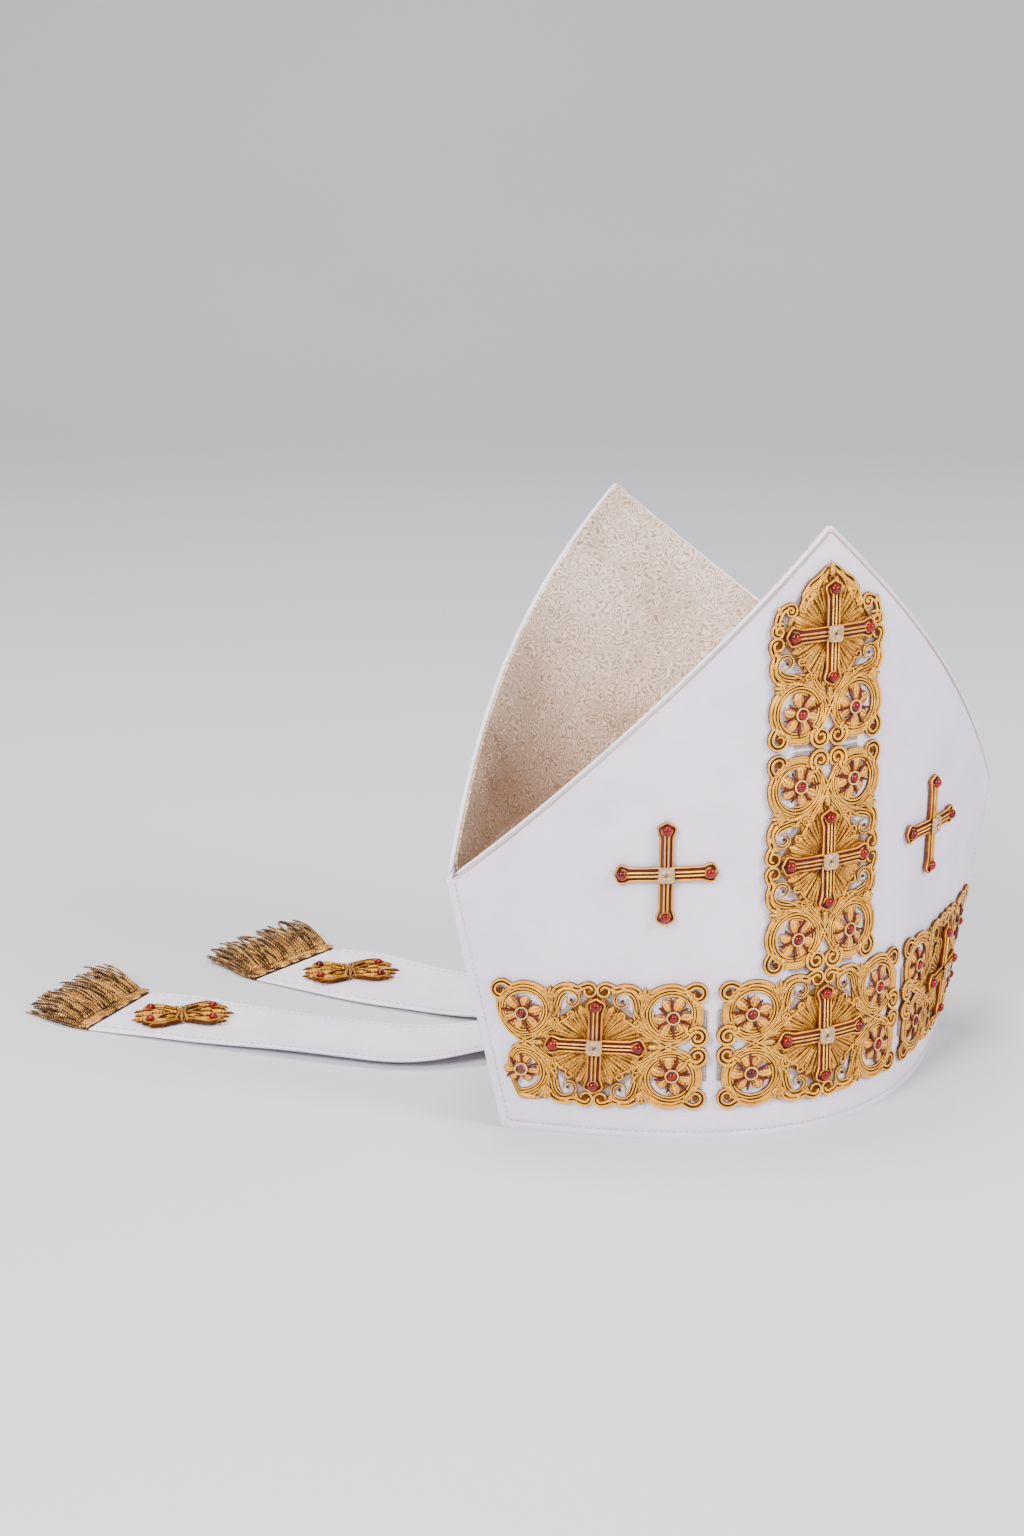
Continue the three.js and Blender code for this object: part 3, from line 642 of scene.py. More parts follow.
def lining_wall(name, share, rim, part, lift):
    """The wall stretch behind a panel: part 0 at its top and 1 at the rim of the valley. It stands
    off the panel by its own thickness, plus dents that are bell curves faded out at both ends."""
    side = SIDES[name]
    height = (top_edge(side, share) + LINING_RISE) * (1 - part) + rim * part
    dent = sum(depth * np.exp(-((share - along) / wide) ** 2 - ((height - at) / tall) ** 2)
               for where, along, at, wide, tall, depth in LINING_DENTS if where == name)
    clear = WALL + GAP + LINING_THICKNESS / 2 + dent * np.sin(np.pi * part)
    return on_cloth(side, -side["facing"] * share, height, -clear - lift)


def bow(value):
    return np.sign(value) * np.abs(value) ** (2 / VALLEY_FULLNESS)


def lining_sheet(share, lift, wall_rows=34, valley_rows=40):
    """Rows down the front wall, across the valley as a flat-bottomed bow, and up the back wall."""
    rim = VALLEY_RIM + VALLEY_RIM_RISE * (1 - share ** 2)
    part = np.linspace(0, 1, wall_rows)[:, None]
    front = lining_wall("front", share, rim, part, lift)
    back = lining_wall("back", share, rim, part[::-1], lift)
    angle = np.pi * np.linspace(0, 1, valley_rows + 2)[1:-1, None]
    mix = ((1 - bow(np.cos(angle))) / 2)[..., None]
    valley = front[-1][None] * (1 - mix) + back[0][None] * mix
    valley[..., 2] = rim - (VALLEY_SAG * (1 - share ** 2) - lift) * bow(np.sin(angle))
    ripple = 0.5 * np.sin(9 * share + 4 * angle) * np.sin(angle)
    valley[..., 2] += ripple
    return np.concatenate([front, valley, back])


lining_share = np.linspace(-LINING_END, LINING_END, LINING_COLUMNS)[None]
open_face = lining_sheet(lining_share, LINING_THICKNESS / 2)
hidden_face = lining_sheet(lining_share, -LINING_THICKNESS / 2)
fall = np.concatenate([np.zeros((1, open_face.shape[1])),
                       np.cumsum(np.linalg.norm(np.diff(open_face, axis=0), axis=2), axis=0)])
fall = fall - fall[len(fall) // 2][None]
flat = np.stack([np.broadcast_to(lining_share * HALF_GIRTH_SHOULDER, fall.shape), fall], axis=-1)
lining = sheet_piece("lining", open_face, hidden_face, flat, [damask()], crease=60)
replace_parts(lining, "front_lining", "back_lining", "gusset")
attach(lining, "root")

# --------------------
# Embroidered motifs: gold cord couched down in scrolls, with padded satin leaves and petals, on
# an oblong. Every quarter is drawn by the same functions, turned over by the signs of U and V:
# U runs along the oblong from its middle, V across it.
# --------------------
MOTIF_LIFT = 0.3
CORD = 1.25
CORD_HEIGHT = 1.15
CORD_PITCH = 1.45
BED_HEIGHT = 0.35
ROUTE_STEP = 1.25
GOLD, SATIN, RAY, NET, SHADE_BED, PETAL, RIM, FLUTE = range(8)
ROUNDEL = (34.4, 15.3)
FLOWER = (35.4, 14.1)
SQUEEZED_FLOWER = 0.82           # size of the lower one next to a side seam
FIELD_TURNS = np.radians([0, 29, 48, 68, 83, 90])
FIELD_REACH = np.array([26.5, 22.6, 20.7, 21.2, 23.4, 24.0])
NET_REACH = np.array([28.5, 23.6, 22.9, 24.9, 27.4, 28.0])


def curl(centre, outer, inner, start, turns, step=12):
    """A spiral about a centre: its radius goes evenly from outer to inner as the angle runs from
    start, in degrees, through so many turns. Negative turns run clockwise."""
    count = max(int(abs(turns) * 360 / step), 4)
    t = np.linspace(0, 1, count + 1)
    angle = np.radians(start) + 2 * np.pi * turns * t
    radius = outer + (inner - outer) * t
    return np.stack([centre[0] + radius * np.cos(angle), centre[1] + radius * np.sin(angle)], axis=-1)


def toward(angle):
    """The unit step in a direction, in radians."""
    return np.array([math.cos(angle), math.sin(angle)])


def scroll(points, *eye):
    """A smooth line through the points that runs on into a curl, eye."""
    return np.vstack([smooth_route(points), curl(*eye)])


def unrolled(eye, points):
    """A curl, eye, that unrolls into a smooth line through the points."""
    return np.vstack([curl(*eye)[::-1], smooth_route(points)])


def beside(route, offset):
    """The line that runs beside a route at an offset, a number or one for each point."""
    return route + side_normals(route) * np.broadcast_to(offset, len(route))[:, None]


def band(work, route, cords, width=CORD, height=CORD_HEIGHT, lift=0.0, until=(), gather=0.7, bed=True):
    """Cords couched side by side along one route, over a low dark bed that is painted shade in the gaps
    between them. cords gives each one's place beside the route in cord pitches; they draw together by
    gather towards its end, and until gives the share of the route where each stops, 1 where it isn't given."""
    route = even_route(route, ROUTE_STEP)
    t = np.linspace(0, 1, len(route))
    squeeze = 1 - (1 - gather) * t ** 2
    for i, place in enumerate(cords):
        stop = until[i] if i < len(until) else 1
        keep = max(int(round(stop * len(route))), 4)
        line = beside(route, place * CORD_PITCH * width / CORD * squeeze)[:keep]
        work.strand(line, width * (1 - 0.22 * t[:keep]), height, lift + 0.06 * (i % 2), GOLD, sides=5)
    # Painted shade: the dark bed shows in the gaps between the cords.
    if bed and len(cords) > 1:
        span = (max(cords) - min(cords)) * CORD_PITCH * width / CORD
        middle = (max(cords) + min(cords)) / 2 * CORD_PITCH * width / CORD
        keep = int(len(route) * (min(until) if len(until) else 1))
        shade_bed_line = beside(route, middle * squeeze)[:keep]
        work.strand(shade_bed_line, (span * squeeze)[:keep] + 0.4, BED_HEIGHT, lift, SHADE_BED, sides=4)


def leaf(work, start, end, width, height=1.3, lift=0.0, kind=SATIN, belly=0.62, bend=0.0, sides=8, steps=9):
    """A padded satin leaf: a strand that swells from a narrow root to its widest at belly and
    closes to a point. bend bows it sideways."""
    start, end = np.asarray(start, float), np.asarray(end, float)
    t = np.linspace(0, 1, steps)
    way = end - start
    across = np.array([-way[1], way[0]]) / np.linalg.norm(way)
    route = start + way * t[:, None] + across * (bend * np.sin(np.pi * t))[:, None]
    opening = np.sin(np.pi / 2 * t / belly)
    closing = np.cos(np.pi / 2 * (t - belly) / (1 - belly))
    swell = np.where(t < belly, opening, closing)
    profile = 0.18 + 0.82 * np.clip(swell, 0, 1) ** 0.8
    work.strand(route, width * profile, height * (0.4 + 0.6 * profile), lift, kind, sides=sides, ends=0.5)


def flower(work, turn, size=1.0, rays=6):
    """Satin petals about a ringed bead, with a long crooked ray of dark red bullion between each two."""
    centre = np.array(FLOWER)
    for i in range(rays):
        angle = turn + 2 * np.pi * i / rays
        way = toward(angle)
        petal = size * (9.6 + 1.0 * math.sin(2.3 * i + turn))
        leaf(work, centre + 1.9 * way, centre + petal * way, 6.2 * size, 1.3, 0.1, belly=0.6,
             bend=0.9 * math.sin(3.1 * i + turn), kind=PETAL)
        between = angle + np.pi / rays
        way = toward(between)
        across = np.array([-way[1], way[0]])
        reach = size * (9.2 + 1.0 * math.cos(1.7 * i + turn))
        t = np.linspace(0, 1, 7)[:, None]
        crook = 1.5 * math.sin(2.9 * i + turn) * t ** 2 + 0.4 * np.sin(5 * t + i)
        ray = centre + (2.4 + (reach - 2.4) * t) * way + crook * across
        work.strand(ray, 1.25, 1.3, 0.9, RAY, sides=5, ends=0.5)
    work.strand(curl(FLOWER, 2.9, 2.9, 0, 1, 24), 1.0, 1.4, 0.8, RIM, sides=5, ends=1)


def roundel(work):
    """Cords round the flower, a crescent of one more inside them, and the crossing cords."""
    turn = np.linspace(0, 2 * np.pi, 60)
    # Painted shade: a dark bed under the rings shows in the gaps between the cords.
    ring_shade_bed = curl(ROUNDEL, 11.6, 11.6, 0, 1, 6)
    work.strand(ring_shade_bed, 5.2, BED_HEIGHT, 0, SHADE_BED, sides=4, ends=1)
    for i, radius in enumerate((9.6, 10.95, 12.3, 13.6)):
        wobble = 1 + 0.014 * np.sin(3 * turn + 2 * i)
        spokes = np.stack([np.cos(turn + i), np.sin(turn + i)], axis=-1)
        ring = spokes * (radius * wobble)[:, None] + ROUNDEL
        work.strand(ring, CORD, CORD_HEIGHT + 0.12 * (i == 1), 0.05 * (i % 2), GOLD, sides=5, ends=1)
    work.strand(curl(ROUNDEL, 8.3, 8.3, 165, 0.4, 9), CORD, 0.9, 0, GOLD, sides=5)
    crossing = smooth_route([(46.3, 11.0), (43.6, 6.4), (39.2, 2.9), (33.5, 0), (28.3, -3.1), (24.6, -6.8)])
    band(work, crossing, (-0.5, 0.5), width=1.35, gather=1, lift=0.25)
    band(work, smooth_route([(47.0, 16), (46.8, 10.5), (43.9, 5.0), (40.6, 2.2)]), (0,), gather=1)


def knob(work, centre, radius):
    """A padded dot that fills the eye of a scroll."""
    work.dome(centre, radius, 1.5, 0.2, SATIN, 5, 9)


def side_scroll(work):
    """The S-scroll from the field up the roundel's flank to a spiral, the knob at the middle of the
    long side, and the leaf bud between scroll and roundel."""
    stem = smooth_route([(27.6, 3.4), (23.0, 8.2), (20.0, 13.6), (19.2, 19.4), (17.6, 24.2), (14.0, 26.6),
                         (9.9, 25.2), (8.6, 21.9), (10.8, 19.2), (13.8, 20.4), (13.4, 22.8)])
    band(work, stem, (-0.5, 0.5, -1.5, 1.5), until=(1, 0.93, 0.66, 0.6), gather=0.8)
    top = scroll([(20.4, 25.8), (16.6, 28.3), (12.0, 28.6), (9.0, 27.6), (6.8, 28.8)],
                 (3.6, 26.6), 3.3, 1.3, 40, 1.0)
    band(work, top, (-0.4, 0.5), width=2.0, height=1.7, gather=0.7, until=(1, 0.8))
    knob(work, (3.6, 26.5), 1.9)
    knob(work, (12.0, 21.8), 0.9)
    leaf(work, (8.6, 23.6), (7.2, 28.6), 2.6, 1.4, 0.3)
    leaf(work, (14.0, 27.8), (10.0, 29.6), 2.4, 1.4, 0.3)
    root = np.array([22.4, 21.2])
    for angle, length in ((52, 5.4), (72, 7.2), (92, 8.0), (112, 7.4), (132, 5.8)):
        tip = root + length * toward(math.radians(angle))
        leaf(work, root, tip, 2.1, 1.7, 0.5, belly=0.7)
    leaf(work, (24.4, 9.5), (20.9, 21.0), 2.2, 1.4, 0.5, bend=1.2)
    leaf(work, (21.6, 12.5), (17.2, 19.0), 1.9, 1.3, 0.5, bend=0.8)


def corner_volute(work):
    """Cords over the roundel's top that end in a spiral at the corner, with leaf tips inside it."""
    route = scroll([(23.6, 22.4), (26.4, 26.2), (30.6, 28.2), (36.0, 28.7), (40.4, 27.2), (43.0, 28.4)],
                   (46.0, 25.0), 4.5, 1.4, 125, -1.25)
    band(work, route, (-0.5, 0.5), width=1.7, height=1.5, gather=0.9, until=(1, 0.9))
    knob(work, (46.0, 25.0), 1.6)
    leaf(work, (42.4, 24.6), (48.4, 19.0), 3.4, 1.4, 0.1, bend=-0.8)
    leaf(work, (40.6, 26.6), (45.0, 21.0), 2.8, 1.4, 0.3)


def end_volutes(work):
    """The rail down the short side and the fat spiral that faces its twin at the middle of it."""
    rail = smooth_route([(47.2, 20.6), (48.0, 16.5), (48.0, 12.4), (46.8, 9.4), (45.0, 7.0)])
    band(work, rail, (-0.5, 0.5), gather=0.9)
    eye = scroll([(42.4, 9.8), (42.6, 6.8)], (46.5, 4.4), 4.2, 1.6, 150, -1.2)
    band(work, eye, (-0.4, 0.5), width=2.2, height=2.0, gather=0.75, until=(1, 0.85))
    knob(work, (46.6, 4.2), 2.2)


def field_reach(turn, reach):
    """How far the shell field reaches at an angle from the long axis, alike in each quarter."""
    folded = np.abs(np.arctan2(np.abs(np.sin(turn)), np.abs(np.cos(turn))))
    return np.interp(folded, FIELD_TURNS, reach)


def shell_quarter(work):
    """Broad low flutes of padded satin that fan out from the middle to the field's edge, with a
    bright ridge on each and between each two, and two small scrolls at the field's corner."""
    for i in range(6):
        angle = math.radians(7.5 + 15 * i)
        way = toward(angle)
        edge = float(field_reach(angle, FIELD_REACH))
        reach = edge - 0.4
        leaf(work, 3.6 * way, reach * way, 2 * reach * math.sin(math.radians(7)), 0.8, 0.3,
             belly=0.85, bend=0.4 * (i % 3 - 1), kind=FLUTE)
        between = math.radians(15 * i + (3 if i == 0 else 0))
        ridge = toward(between)
        reach = float(field_reach(between, FIELD_REACH)) - 1.0 - 1.4 * (i % 2)
        leaf(work, 5.0 * ridge, reach * ridge, 1.5, 1.5, 0.55, belly=0.8, bend=0.9 * (i % 2 - 0.5), sides=6)
        leaf(work, 7.0 * way, (edge - 2.4) * way, 1.5, 1.3, 0.6, sides=5, steps=6)
    small = scroll([(26.6, 4.6), (23.4, 7.0), (20.8, 8.6)], (18.9, 10.9), 2.5, 0.7, -70, 1.2)
    band(work, small, (0.0, 0.8), until=(1, 0.6), lift=0.6, width=1.3, bed=False)
    tip = scroll([(19.0, 8.4), (15.6, 11.6), (12.8, 13.2)], (11.4, 15.0), 2.1, 0.7, -60, 1.1)
    band(work, tip, (0.0,), lift=0.6, width=1.3)


def motif_ground(work, ends, nets):
    """What the needlework lies on: the gold field's plate, in dark gold as painted shade between the
    flutes, over a slightly larger grey net, a strip of net each side of the volutes at the ends in
    nets, and inward leaves at the ends in ends."""
    turn = np.linspace(0, 2 * np.pi, 96, endpoint=False)
    ring = np.stack([np.cos(turn), np.sin(turn)], axis=-1)
    work.plate(ring * field_reach(turn, NET_REACH)[:, None], 0.25, 0, NET)
    # Painted shade: the field's dark gold plate shows between the flutes as their shadow.
    work.plate(ring * field_reach(turn, FIELD_REACH)[:, None], 0.3, 0.22, SHADE_BED)
    for way in nets:
        for flank in (-1, 1):
            middle = np.array([way * 48.9, flank * 11.6])
            corners = np.array([(-2.2, -5.6), (2.2, -5.6), (2.2, 5.6), (-2.2, 5.6)])
            work.plate(middle + corners, 0.25, 0, NET)
    for way in ends:
        leaf(work, (way * 31.2, 0), (way * 23.6, 0), 3.4, 1.5, 0.5)
        for flank in (-1, 1):
            leaf(work, (way * 30.4, flank * 1.2), (way * 24.6, flank * 4.4), 2.0, 1.2, 0.3)


class Turned:
    """A needlework seen through a quarter's mirrors: what is drawn with U and V above zero is laid
    in the quarter with the given signs."""

    def __init__(self, work, along, across):
        self.work = work
        self.signs = np.array([along, across])

    def strand(self, route, *rest, **named):
        self.work.strand(np.asarray(route, float) * self.signs, *rest, **named)

    def dome(self, centre, *rest):
        self.work.dome(np.asarray(centre, float) * self.signs, *rest)

    def hold_at(self, centre):
        """What is drawn next keeps its shape about a centre, until this is called with None."""
        self.work.anchor = None if centre is None else np.asarray(centre, float) * self.signs


def crown(work):
    """The pointed head: shoulder cords from a curl each side up to the finial, a second curl under
    each, and a separate scroll that stands at the flank."""
    edge = unrolled(((17.4, 11.6), 2.7, 0.9, 190, -1.2),
                    [(19.6, 12.6), (22.4, 10.6), (24.2, 7.6), (26.0, 5.2), (29.0, 1.8)])
    band(work, edge, (-0.5, 0.5), width=1.8, height=1.7, gather=0.8)
    second = unrolled(((12.6, 14.4), 2.2, 0.8, 200, -1.2),
                      [(14.4, 15.6), (17.4, 13.8), (21.0, 9.6), (24.6, 4.6), (27.0, 1.6)])
    band(work, second, (0,), lift=0.5, width=1.9, height=1.6)
    flank = scroll([(1.0, 23.4), (4.4, 26.8), (8.6, 26.6), (12.0, 24.4), (13.4, 21.6)],
                   (11.4, 20.4), 2.4, 0.9, 30, -1.15)
    band(work, flank, (-0.5, 0.5), width=1.8, height=1.6, gather=0.8)
    eye = scroll([(5.0, 22.8), (5.6, 26.2)], (2.6, 26.4), 2.8, 1.0, 0, 1.15)
    band(work, eye, (-0.4, 0.5), width=1.9, height=1.6, gather=0.8)
    knob(work, (2.6, 26.2), 1.5)
    knob(work, (17.4, 11.4), 1.2)
    leaf(work, (9.0, 24.6), (13.6, 27.0), 2.6, 1.5, 0.3)
    leaf(work, (3.6, 21.6), (9.8, 17.8), 2.4, 1.4, 0.3, bend=0.6)


def draw_motif(kind):
    """All of one motif. kind is whole, left or right for those cut short at a side seam, or top for
    the pointed one, whose upper half has a crown instead of roundels."""
    work = Needlework()
    cut = {"left": -1, "right": 1}.get(kind, 0)
    ends = (-1,) if kind == "top" else (-1, 1)
    motif_ground(work, ends, [end for end in ends if end != cut])
    for along in (-1, 1):
        for across in (-1, 1):
            quarter = Turned(work, along, across)
            shell_quarter(quarter)
            if kind == "top" and along > 0:
                crown(quarter)
                continue
            side_scroll(quarter)
            roundel(quarter)
            quarter.hold_at(FLOWER)
            squeezed = along == cut and across < 0
            flower(quarter, 0.7 * along + 0.4 * across, SQUEEZED_FLOWER if squeezed else 1.0)
            quarter.hold_at(None)
            if squeezed:
                leaf(quarter, (23, 28.6), (41, 27.4), 3.4, 1.3)
                continue
            corner_volute(quarter)
            if along != cut:
                end_volutes(quarter)
    if kind == "top":
        leaf(work, (23.8, 0), (31.6, 0), 4.0, 1.9, 0.4, belly=0.5)
    return work


def embroidery_gold(name, deep, bright, twist_pitch=1.0, metallic=0.6, roughness=0.4):
    """Gold thread round a cord: it is painted darkest along the cord's flanks, where neighbours meet,
    as painted shade, and lightest along its crest as painted highlight; its turns show as slanting
    bands. The flat map runs along the cord in millimetres and once round it."""
    gold = Finish(name, Specular_IOR_Level=0.35)
    _, along, around = gold.cloth_place()
    # Painted highlight on the cord's crest and painted shade on its flanks, whichever way it faces.
    top = (1 - abs(around - 0.5) * 2).ramp(0.55, 0.95)
    twist = (along * (2 * math.pi / twist_pitch) + around * (4 * math.pi)).sine()
    patches = gold.noise(gold.body_place(), 210, 2)
    light = top * 0.9 + twist * 0.16 + patches * 1.1
    colour = gold.mix(deep, bright, light.ramp(0.62, 1.42))
    gold.bump(twist * 0.5 + patches, 0.12)
    return gold.done(Base_Color=colour, Metallic=metallic, Roughness=roughness + patches * 0.16)


def satin_gold(name, deep, bright, metallic=0.5):
    """Satin stitch: threads lie side by side across the leaf, as fine ridges along its length; painted
    shade darkens the flanks and a painted highlight lightens the middle."""
    gold = Finish(name, Specular_IOR_Level=0.35)
    _, along, around = gold.cloth_place()
    # Painted highlight along the middle and painted shade on the flanks of each leaf.
    top = (1 - abs(around - 0.5) * 2).ramp(0.5, 1.0)
    stitches = (along * 3.4 + (around - 0.5) ** 2 * 22).sine()
    ribs = (around * 56).sine()
    patches = gold.noise(gold.body_place(), 260, 2)
    light = top * 0.75 + stitches * 0.1 + ribs * 0.28 + patches * 1.1
    gold.bump(stitches * 0.6 + ribs, 0.09)
    return gold.done(Base_Color=gold.mix(deep, bright, light.ramp(0.6, 1.38)), Metallic=metallic,
                     Roughness=0.34 + patches * 0.12)


def net_finish():
    """Grey-brown netting: two sets of fine threads at right angles, with darker holes between."""
    net = Finish("grey_net", Specular_IOR_Level=0.3)
    place, along, up = net.cloth_place()
    mesh = abs((along * 3.6).sine()) * abs((up * 3.6).sine())
    grime = net.noise(place, 0.6, 2)
    net.bump(mesh, 0.15)
    light = mesh * 0.6 + grime * 0.7
    colour = net.mix((0.11, 0.075, 0.065, 1), (0.46, 0.36, 0.34, 1), light.ramp(0.1, 0.95))
    return net.done(Base_Color=colour, Roughness=0.8)


def dark_bullion(name="dark_red_bullion"):
    """Dark red-brown metal purl: close rings round the wire, with a dull glint."""
    dark = Finish(name, Specular_IOR_Level=0.5)
    _, along, around = dark.cloth_place()
    rings = (along * 12).sine()
    dark.bump(rings, 0.06)
    colour = dark.mix((0.03, 0.002, 0.001, 1), (0.17, 0.006, 0.002, 1), rings.ramp(-0.6, 0.8))
    return dark.done(Base_Color=colour, Roughness=0.42, Metallic=0.2)


def shade_bed_gold():
    """The flat couched ground of the shell and the bed under cords: rows of fine gold thread with darker
    gaps, kept dark as painted shade between the strands that lie on it.
    """
    gold = Finish("couched_ground_shade_bed", Specular_IOR_Level=0.5)
    place, along, up = gold.cloth_place()
    rows = ((along + up) * 7).sine()
    patches = gold.noise(place, 0.5, 3)
    gold.bump(rows * 0.5 + patches, 0.12)
    light = rows * 0.15 + patches
    colour = gold.mix((0.06, 0.018, 0.002, 1), (0.34, 0.13, 0.015, 1), light.ramp(0.25, 0.8))
    return gold.done(Base_Color=colour, Metallic=0.4, Roughness=0.5)


MOTIF_FINISHES = [
    embroidery_gold("couched_gold_cord", (0.15, 0.032, 0.001, 1), (1.0, 0.47, 0.055, 1), 1.0, 0.7, 0.32),
    satin_gold("satin_gold", (0.18, 0.042, 0.002, 1), (1.0, 0.50, 0.07, 1), 0.7),
    dark_bullion(),
    net_finish(),
    shade_bed_gold(),
    satin_gold("petal_satin", (0.20, 0.042, 0.003, 1), (1.0, 0.44, 0.06, 1), 0.5),
    embroidery_gold("bead_ring_cord", (0.40, 0.15, 0.03, 1), (1.0, 0.66, 0.24, 1), 0.8),
    satin_gold("flute_satin", (0.08, 0.018, 0.001, 1), (0.96, 0.40, 0.04, 1), 0.6),
]
BAND_PITCH = 106.9
BAND_HEIGHT = 46.3
MOTIF_HALF_LENGTH = 50.8
MOTIF_HALF_WIDTH = 29.5
SEAM_MARGIN = 8.9
FIXED_REACH = 33


def seam_fit(way):
    """Narrows the end of a motif towards a side seam: what lies past a fixed reach is drawn in
    evenly, so that the end keeps its margin from the slanting seam."""
    def fit(x, y):
        room = half_girth(BAND_HEIGHT + y) - SEAM_MARGIN - BAND_PITCH
        share = np.minimum((room - FIXED_REACH) / (MOTIF_HALF_LENGTH - FIXED_REACH), 1)
        outer = x * way
        return way * np.where(outer > FIXED_REACH, FIXED_REACH + (outer - FIXED_REACH) * share, outer)
    return fit


def motif_spots(side):
    """Name, place along the cloth, height, drawing, upright or not, and fit of each motif."""
    top = side["top_motif"]
    column = (BAND_HEIGHT + MOTIF_HALF_WIDTH + top - MOTIF_HALF_LENGTH) / 2
    return [
        ("band_left", -BAND_PITCH, BAND_HEIGHT, "left", False, seam_fit(-1)),
        ("band_middle", 0, BAND_HEIGHT, "whole", False, None),
        ("band_right", BAND_PITCH, BAND_HEIGHT, "right", False, seam_fit(1)),
        ("column", 0, column, "whole", True, None),
        ("top", 0, top, "top", True, None),
    ]


drawings = {kind: draw_motif(kind) for kind in ("whole", "left", "right", "top")}
for side_name, side in SIDES.items():
    for spot, along, height, kind, upright, fit in motif_spots(side):
        name = f"{side_name}_{spot}"
        work = drawings[kind]
        piece = work.sewn(f"{name}_embroidery", side, along, height, MOTIF_LIFT, MOTIF_FINISHES, upright, fit)
        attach(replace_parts(piece, f"{name}_motif"), "root")

# --------------------
# Ruby beads: round red glass, sewn down through a hole, one in each flower. They sit in a ring
# of gold thread.
# --------------------
FLOWER_BEAD_RADIUS = 2.1
FLOWER_BEAD_HEIGHT = 3.0
FLOWER_BEAD_LIFT = 0.6


def ruby_glass():
    """Deep red glass over a foil back: clear bright gloss outside, darker cloudy red within."""
    glass = Finish("ruby_glass", Coat_Weight=0.5, Coat_Roughness=0.03, Specular_IOR_Level=0.2)
    depth = glass.noise(glass.body_place(), 320, 1)
    colour = glass.mix((0.07, 0.0, 0.0, 1), (0.28, 0.0, 0.0, 1), depth.ramp(0.3, 0.7))
    return glass.done(Base_Color=colour, Roughness=0.08 + depth * 0.05)


RUBY = ruby_glass()
for side_name, side in SIDES.items():
    for spot, along, height, kind, upright, fit in motif_spots(side):
        beads = Needlework()
        for end in (-1,) if kind == "top" else (-1, 1):
            for flank in (-1, 1):
                centre = (end * FLOWER[0], flank * FLOWER[1])
                beads.dome(centre, FLOWER_BEAD_RADIUS, FLOWER_BEAD_HEIGHT, FLOWER_BEAD_LIFT, 0)
        name = f"{side_name}_{spot}_flower_beads"
        piece = beads.sewn(name, side, along, height, MOTIF_LIFT, [RUBY], upright, fit)
        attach(piece, "root")

# --------------------
# Crosses: padded bullion work. On a dark red bed lie two pale gold rods, and a gold cord edges
# the arms and flares round a ruby bead at each end. One is sewn on each motif, two on bare cloth.
# --------------------
CROSS_ARM = 6.4
MOTIF_CROSS_REACH = 19.5         # from the middle to a bead's centre
SMALL_CROSS_REACH = 20.1
CROSS_BEAD_RADIUS = 2.35
CROSS_BEAD_HEIGHT = 3.5
CROSS_BEAD_LIFT = 0.9
ROD_OFFSET = 0.85
MOTIF_CROSS_LIFT = 1.8
SMALL_CROSS_SPOTS = [("small_left", -76.4), ("small_right", 76.4)]
SMALL_CROSS_HEIGHT = 128.6
BED, ROD, EDGE = range(3)


def draw_cross(reach):
    """A cross whose beads lie at reach from its middle. The edging of each arm runs out along one
    flank, round the flared end and back along the other."""
    work = Needlework()
    flank = CROSS_ARM / 2 - 0.3
    for turn in range(4):
        angle = turn * math.pi / 2
        spin = np.array([[math.cos(angle), math.sin(angle)], [-math.sin(angle), math.cos(angle)]])
        root = 2.2
        out = np.linspace(0.5, reach + 2.6, 24)
        bed = np.stack([out, np.zeros(24)], axis=-1) @ spin
        flare = CROSS_ARM * 0.94 + 2.0 * np.exp(-((out - reach - 0.6) / 2.6) ** 2)
        work.strand(bed, flare, 1.5, 0.0, BED, sides=8, ends=0.7)
        for offset in (-ROD_OFFSET, ROD_OFFSET):
            rod = np.stack([np.linspace(root, reach - 1.6, 20), np.full(20, offset)], axis=-1) @ spin
            work.strand(rod, 1.15, 2.1, 0.45, ROD, sides=8, ends=0.8)
        half = smooth_route([
            (root, flank), (reach * 0.55, flank), (reach - 3.6, flank + 0.05), (reach - 1.6, flank + 0.7),
            (reach + 0.7, flank + 1.3), (reach + 2.0, flank + 0.5), (reach + 2.9, flank - 1.4),
            (reach + 3.9, 0),
        ])
        outline = np.vstack([half, (half * (1, -1))[::-1][1:]])
        edge = even_route(outline, 1.0) @ spin
        work.strand(edge, 1.1, 1.9, 0.15, EDGE, sides=6, ends=0.8)
        collar = curl((reach, 0), CROSS_BEAD_RADIUS, CROSS_BEAD_RADIUS, 75, 0.58, 15) @ spin
        work.strand(collar, 0.7, 1.3, 0.9, ROD, sides=5)
    return work


CROSS_FINISHES = [
    dark_bullion("cross_bed"),
    embroidery_gold("pale_bullion_rod", (0.24, 0.06, 0.004, 1), (1.0, 0.52, 0.10, 1), 0.7, 0.6, 0.3),
    embroidery_gold("orange_gold_edging", (0.20, 0.04, 0.002, 1), (1.0, 0.43, 0.05, 1), 0.9, 0.5, 0.36),
]


def cross_spots(side):
    """Name, place along the cloth, height, reach and lift of each cross of a panel."""
    on_motifs = [(spot, along, height, MOTIF_CROSS_REACH, MOTIF_CROSS_LIFT)
                 for spot, along, height, *_ in motif_spots(side)]
    on_cloth_alone = [(spot, along, SMALL_CROSS_HEIGHT, SMALL_CROSS_REACH, MOTIF_LIFT)
                      for spot, along in SMALL_CROSS_SPOTS]
    return on_motifs + on_cloth_alone


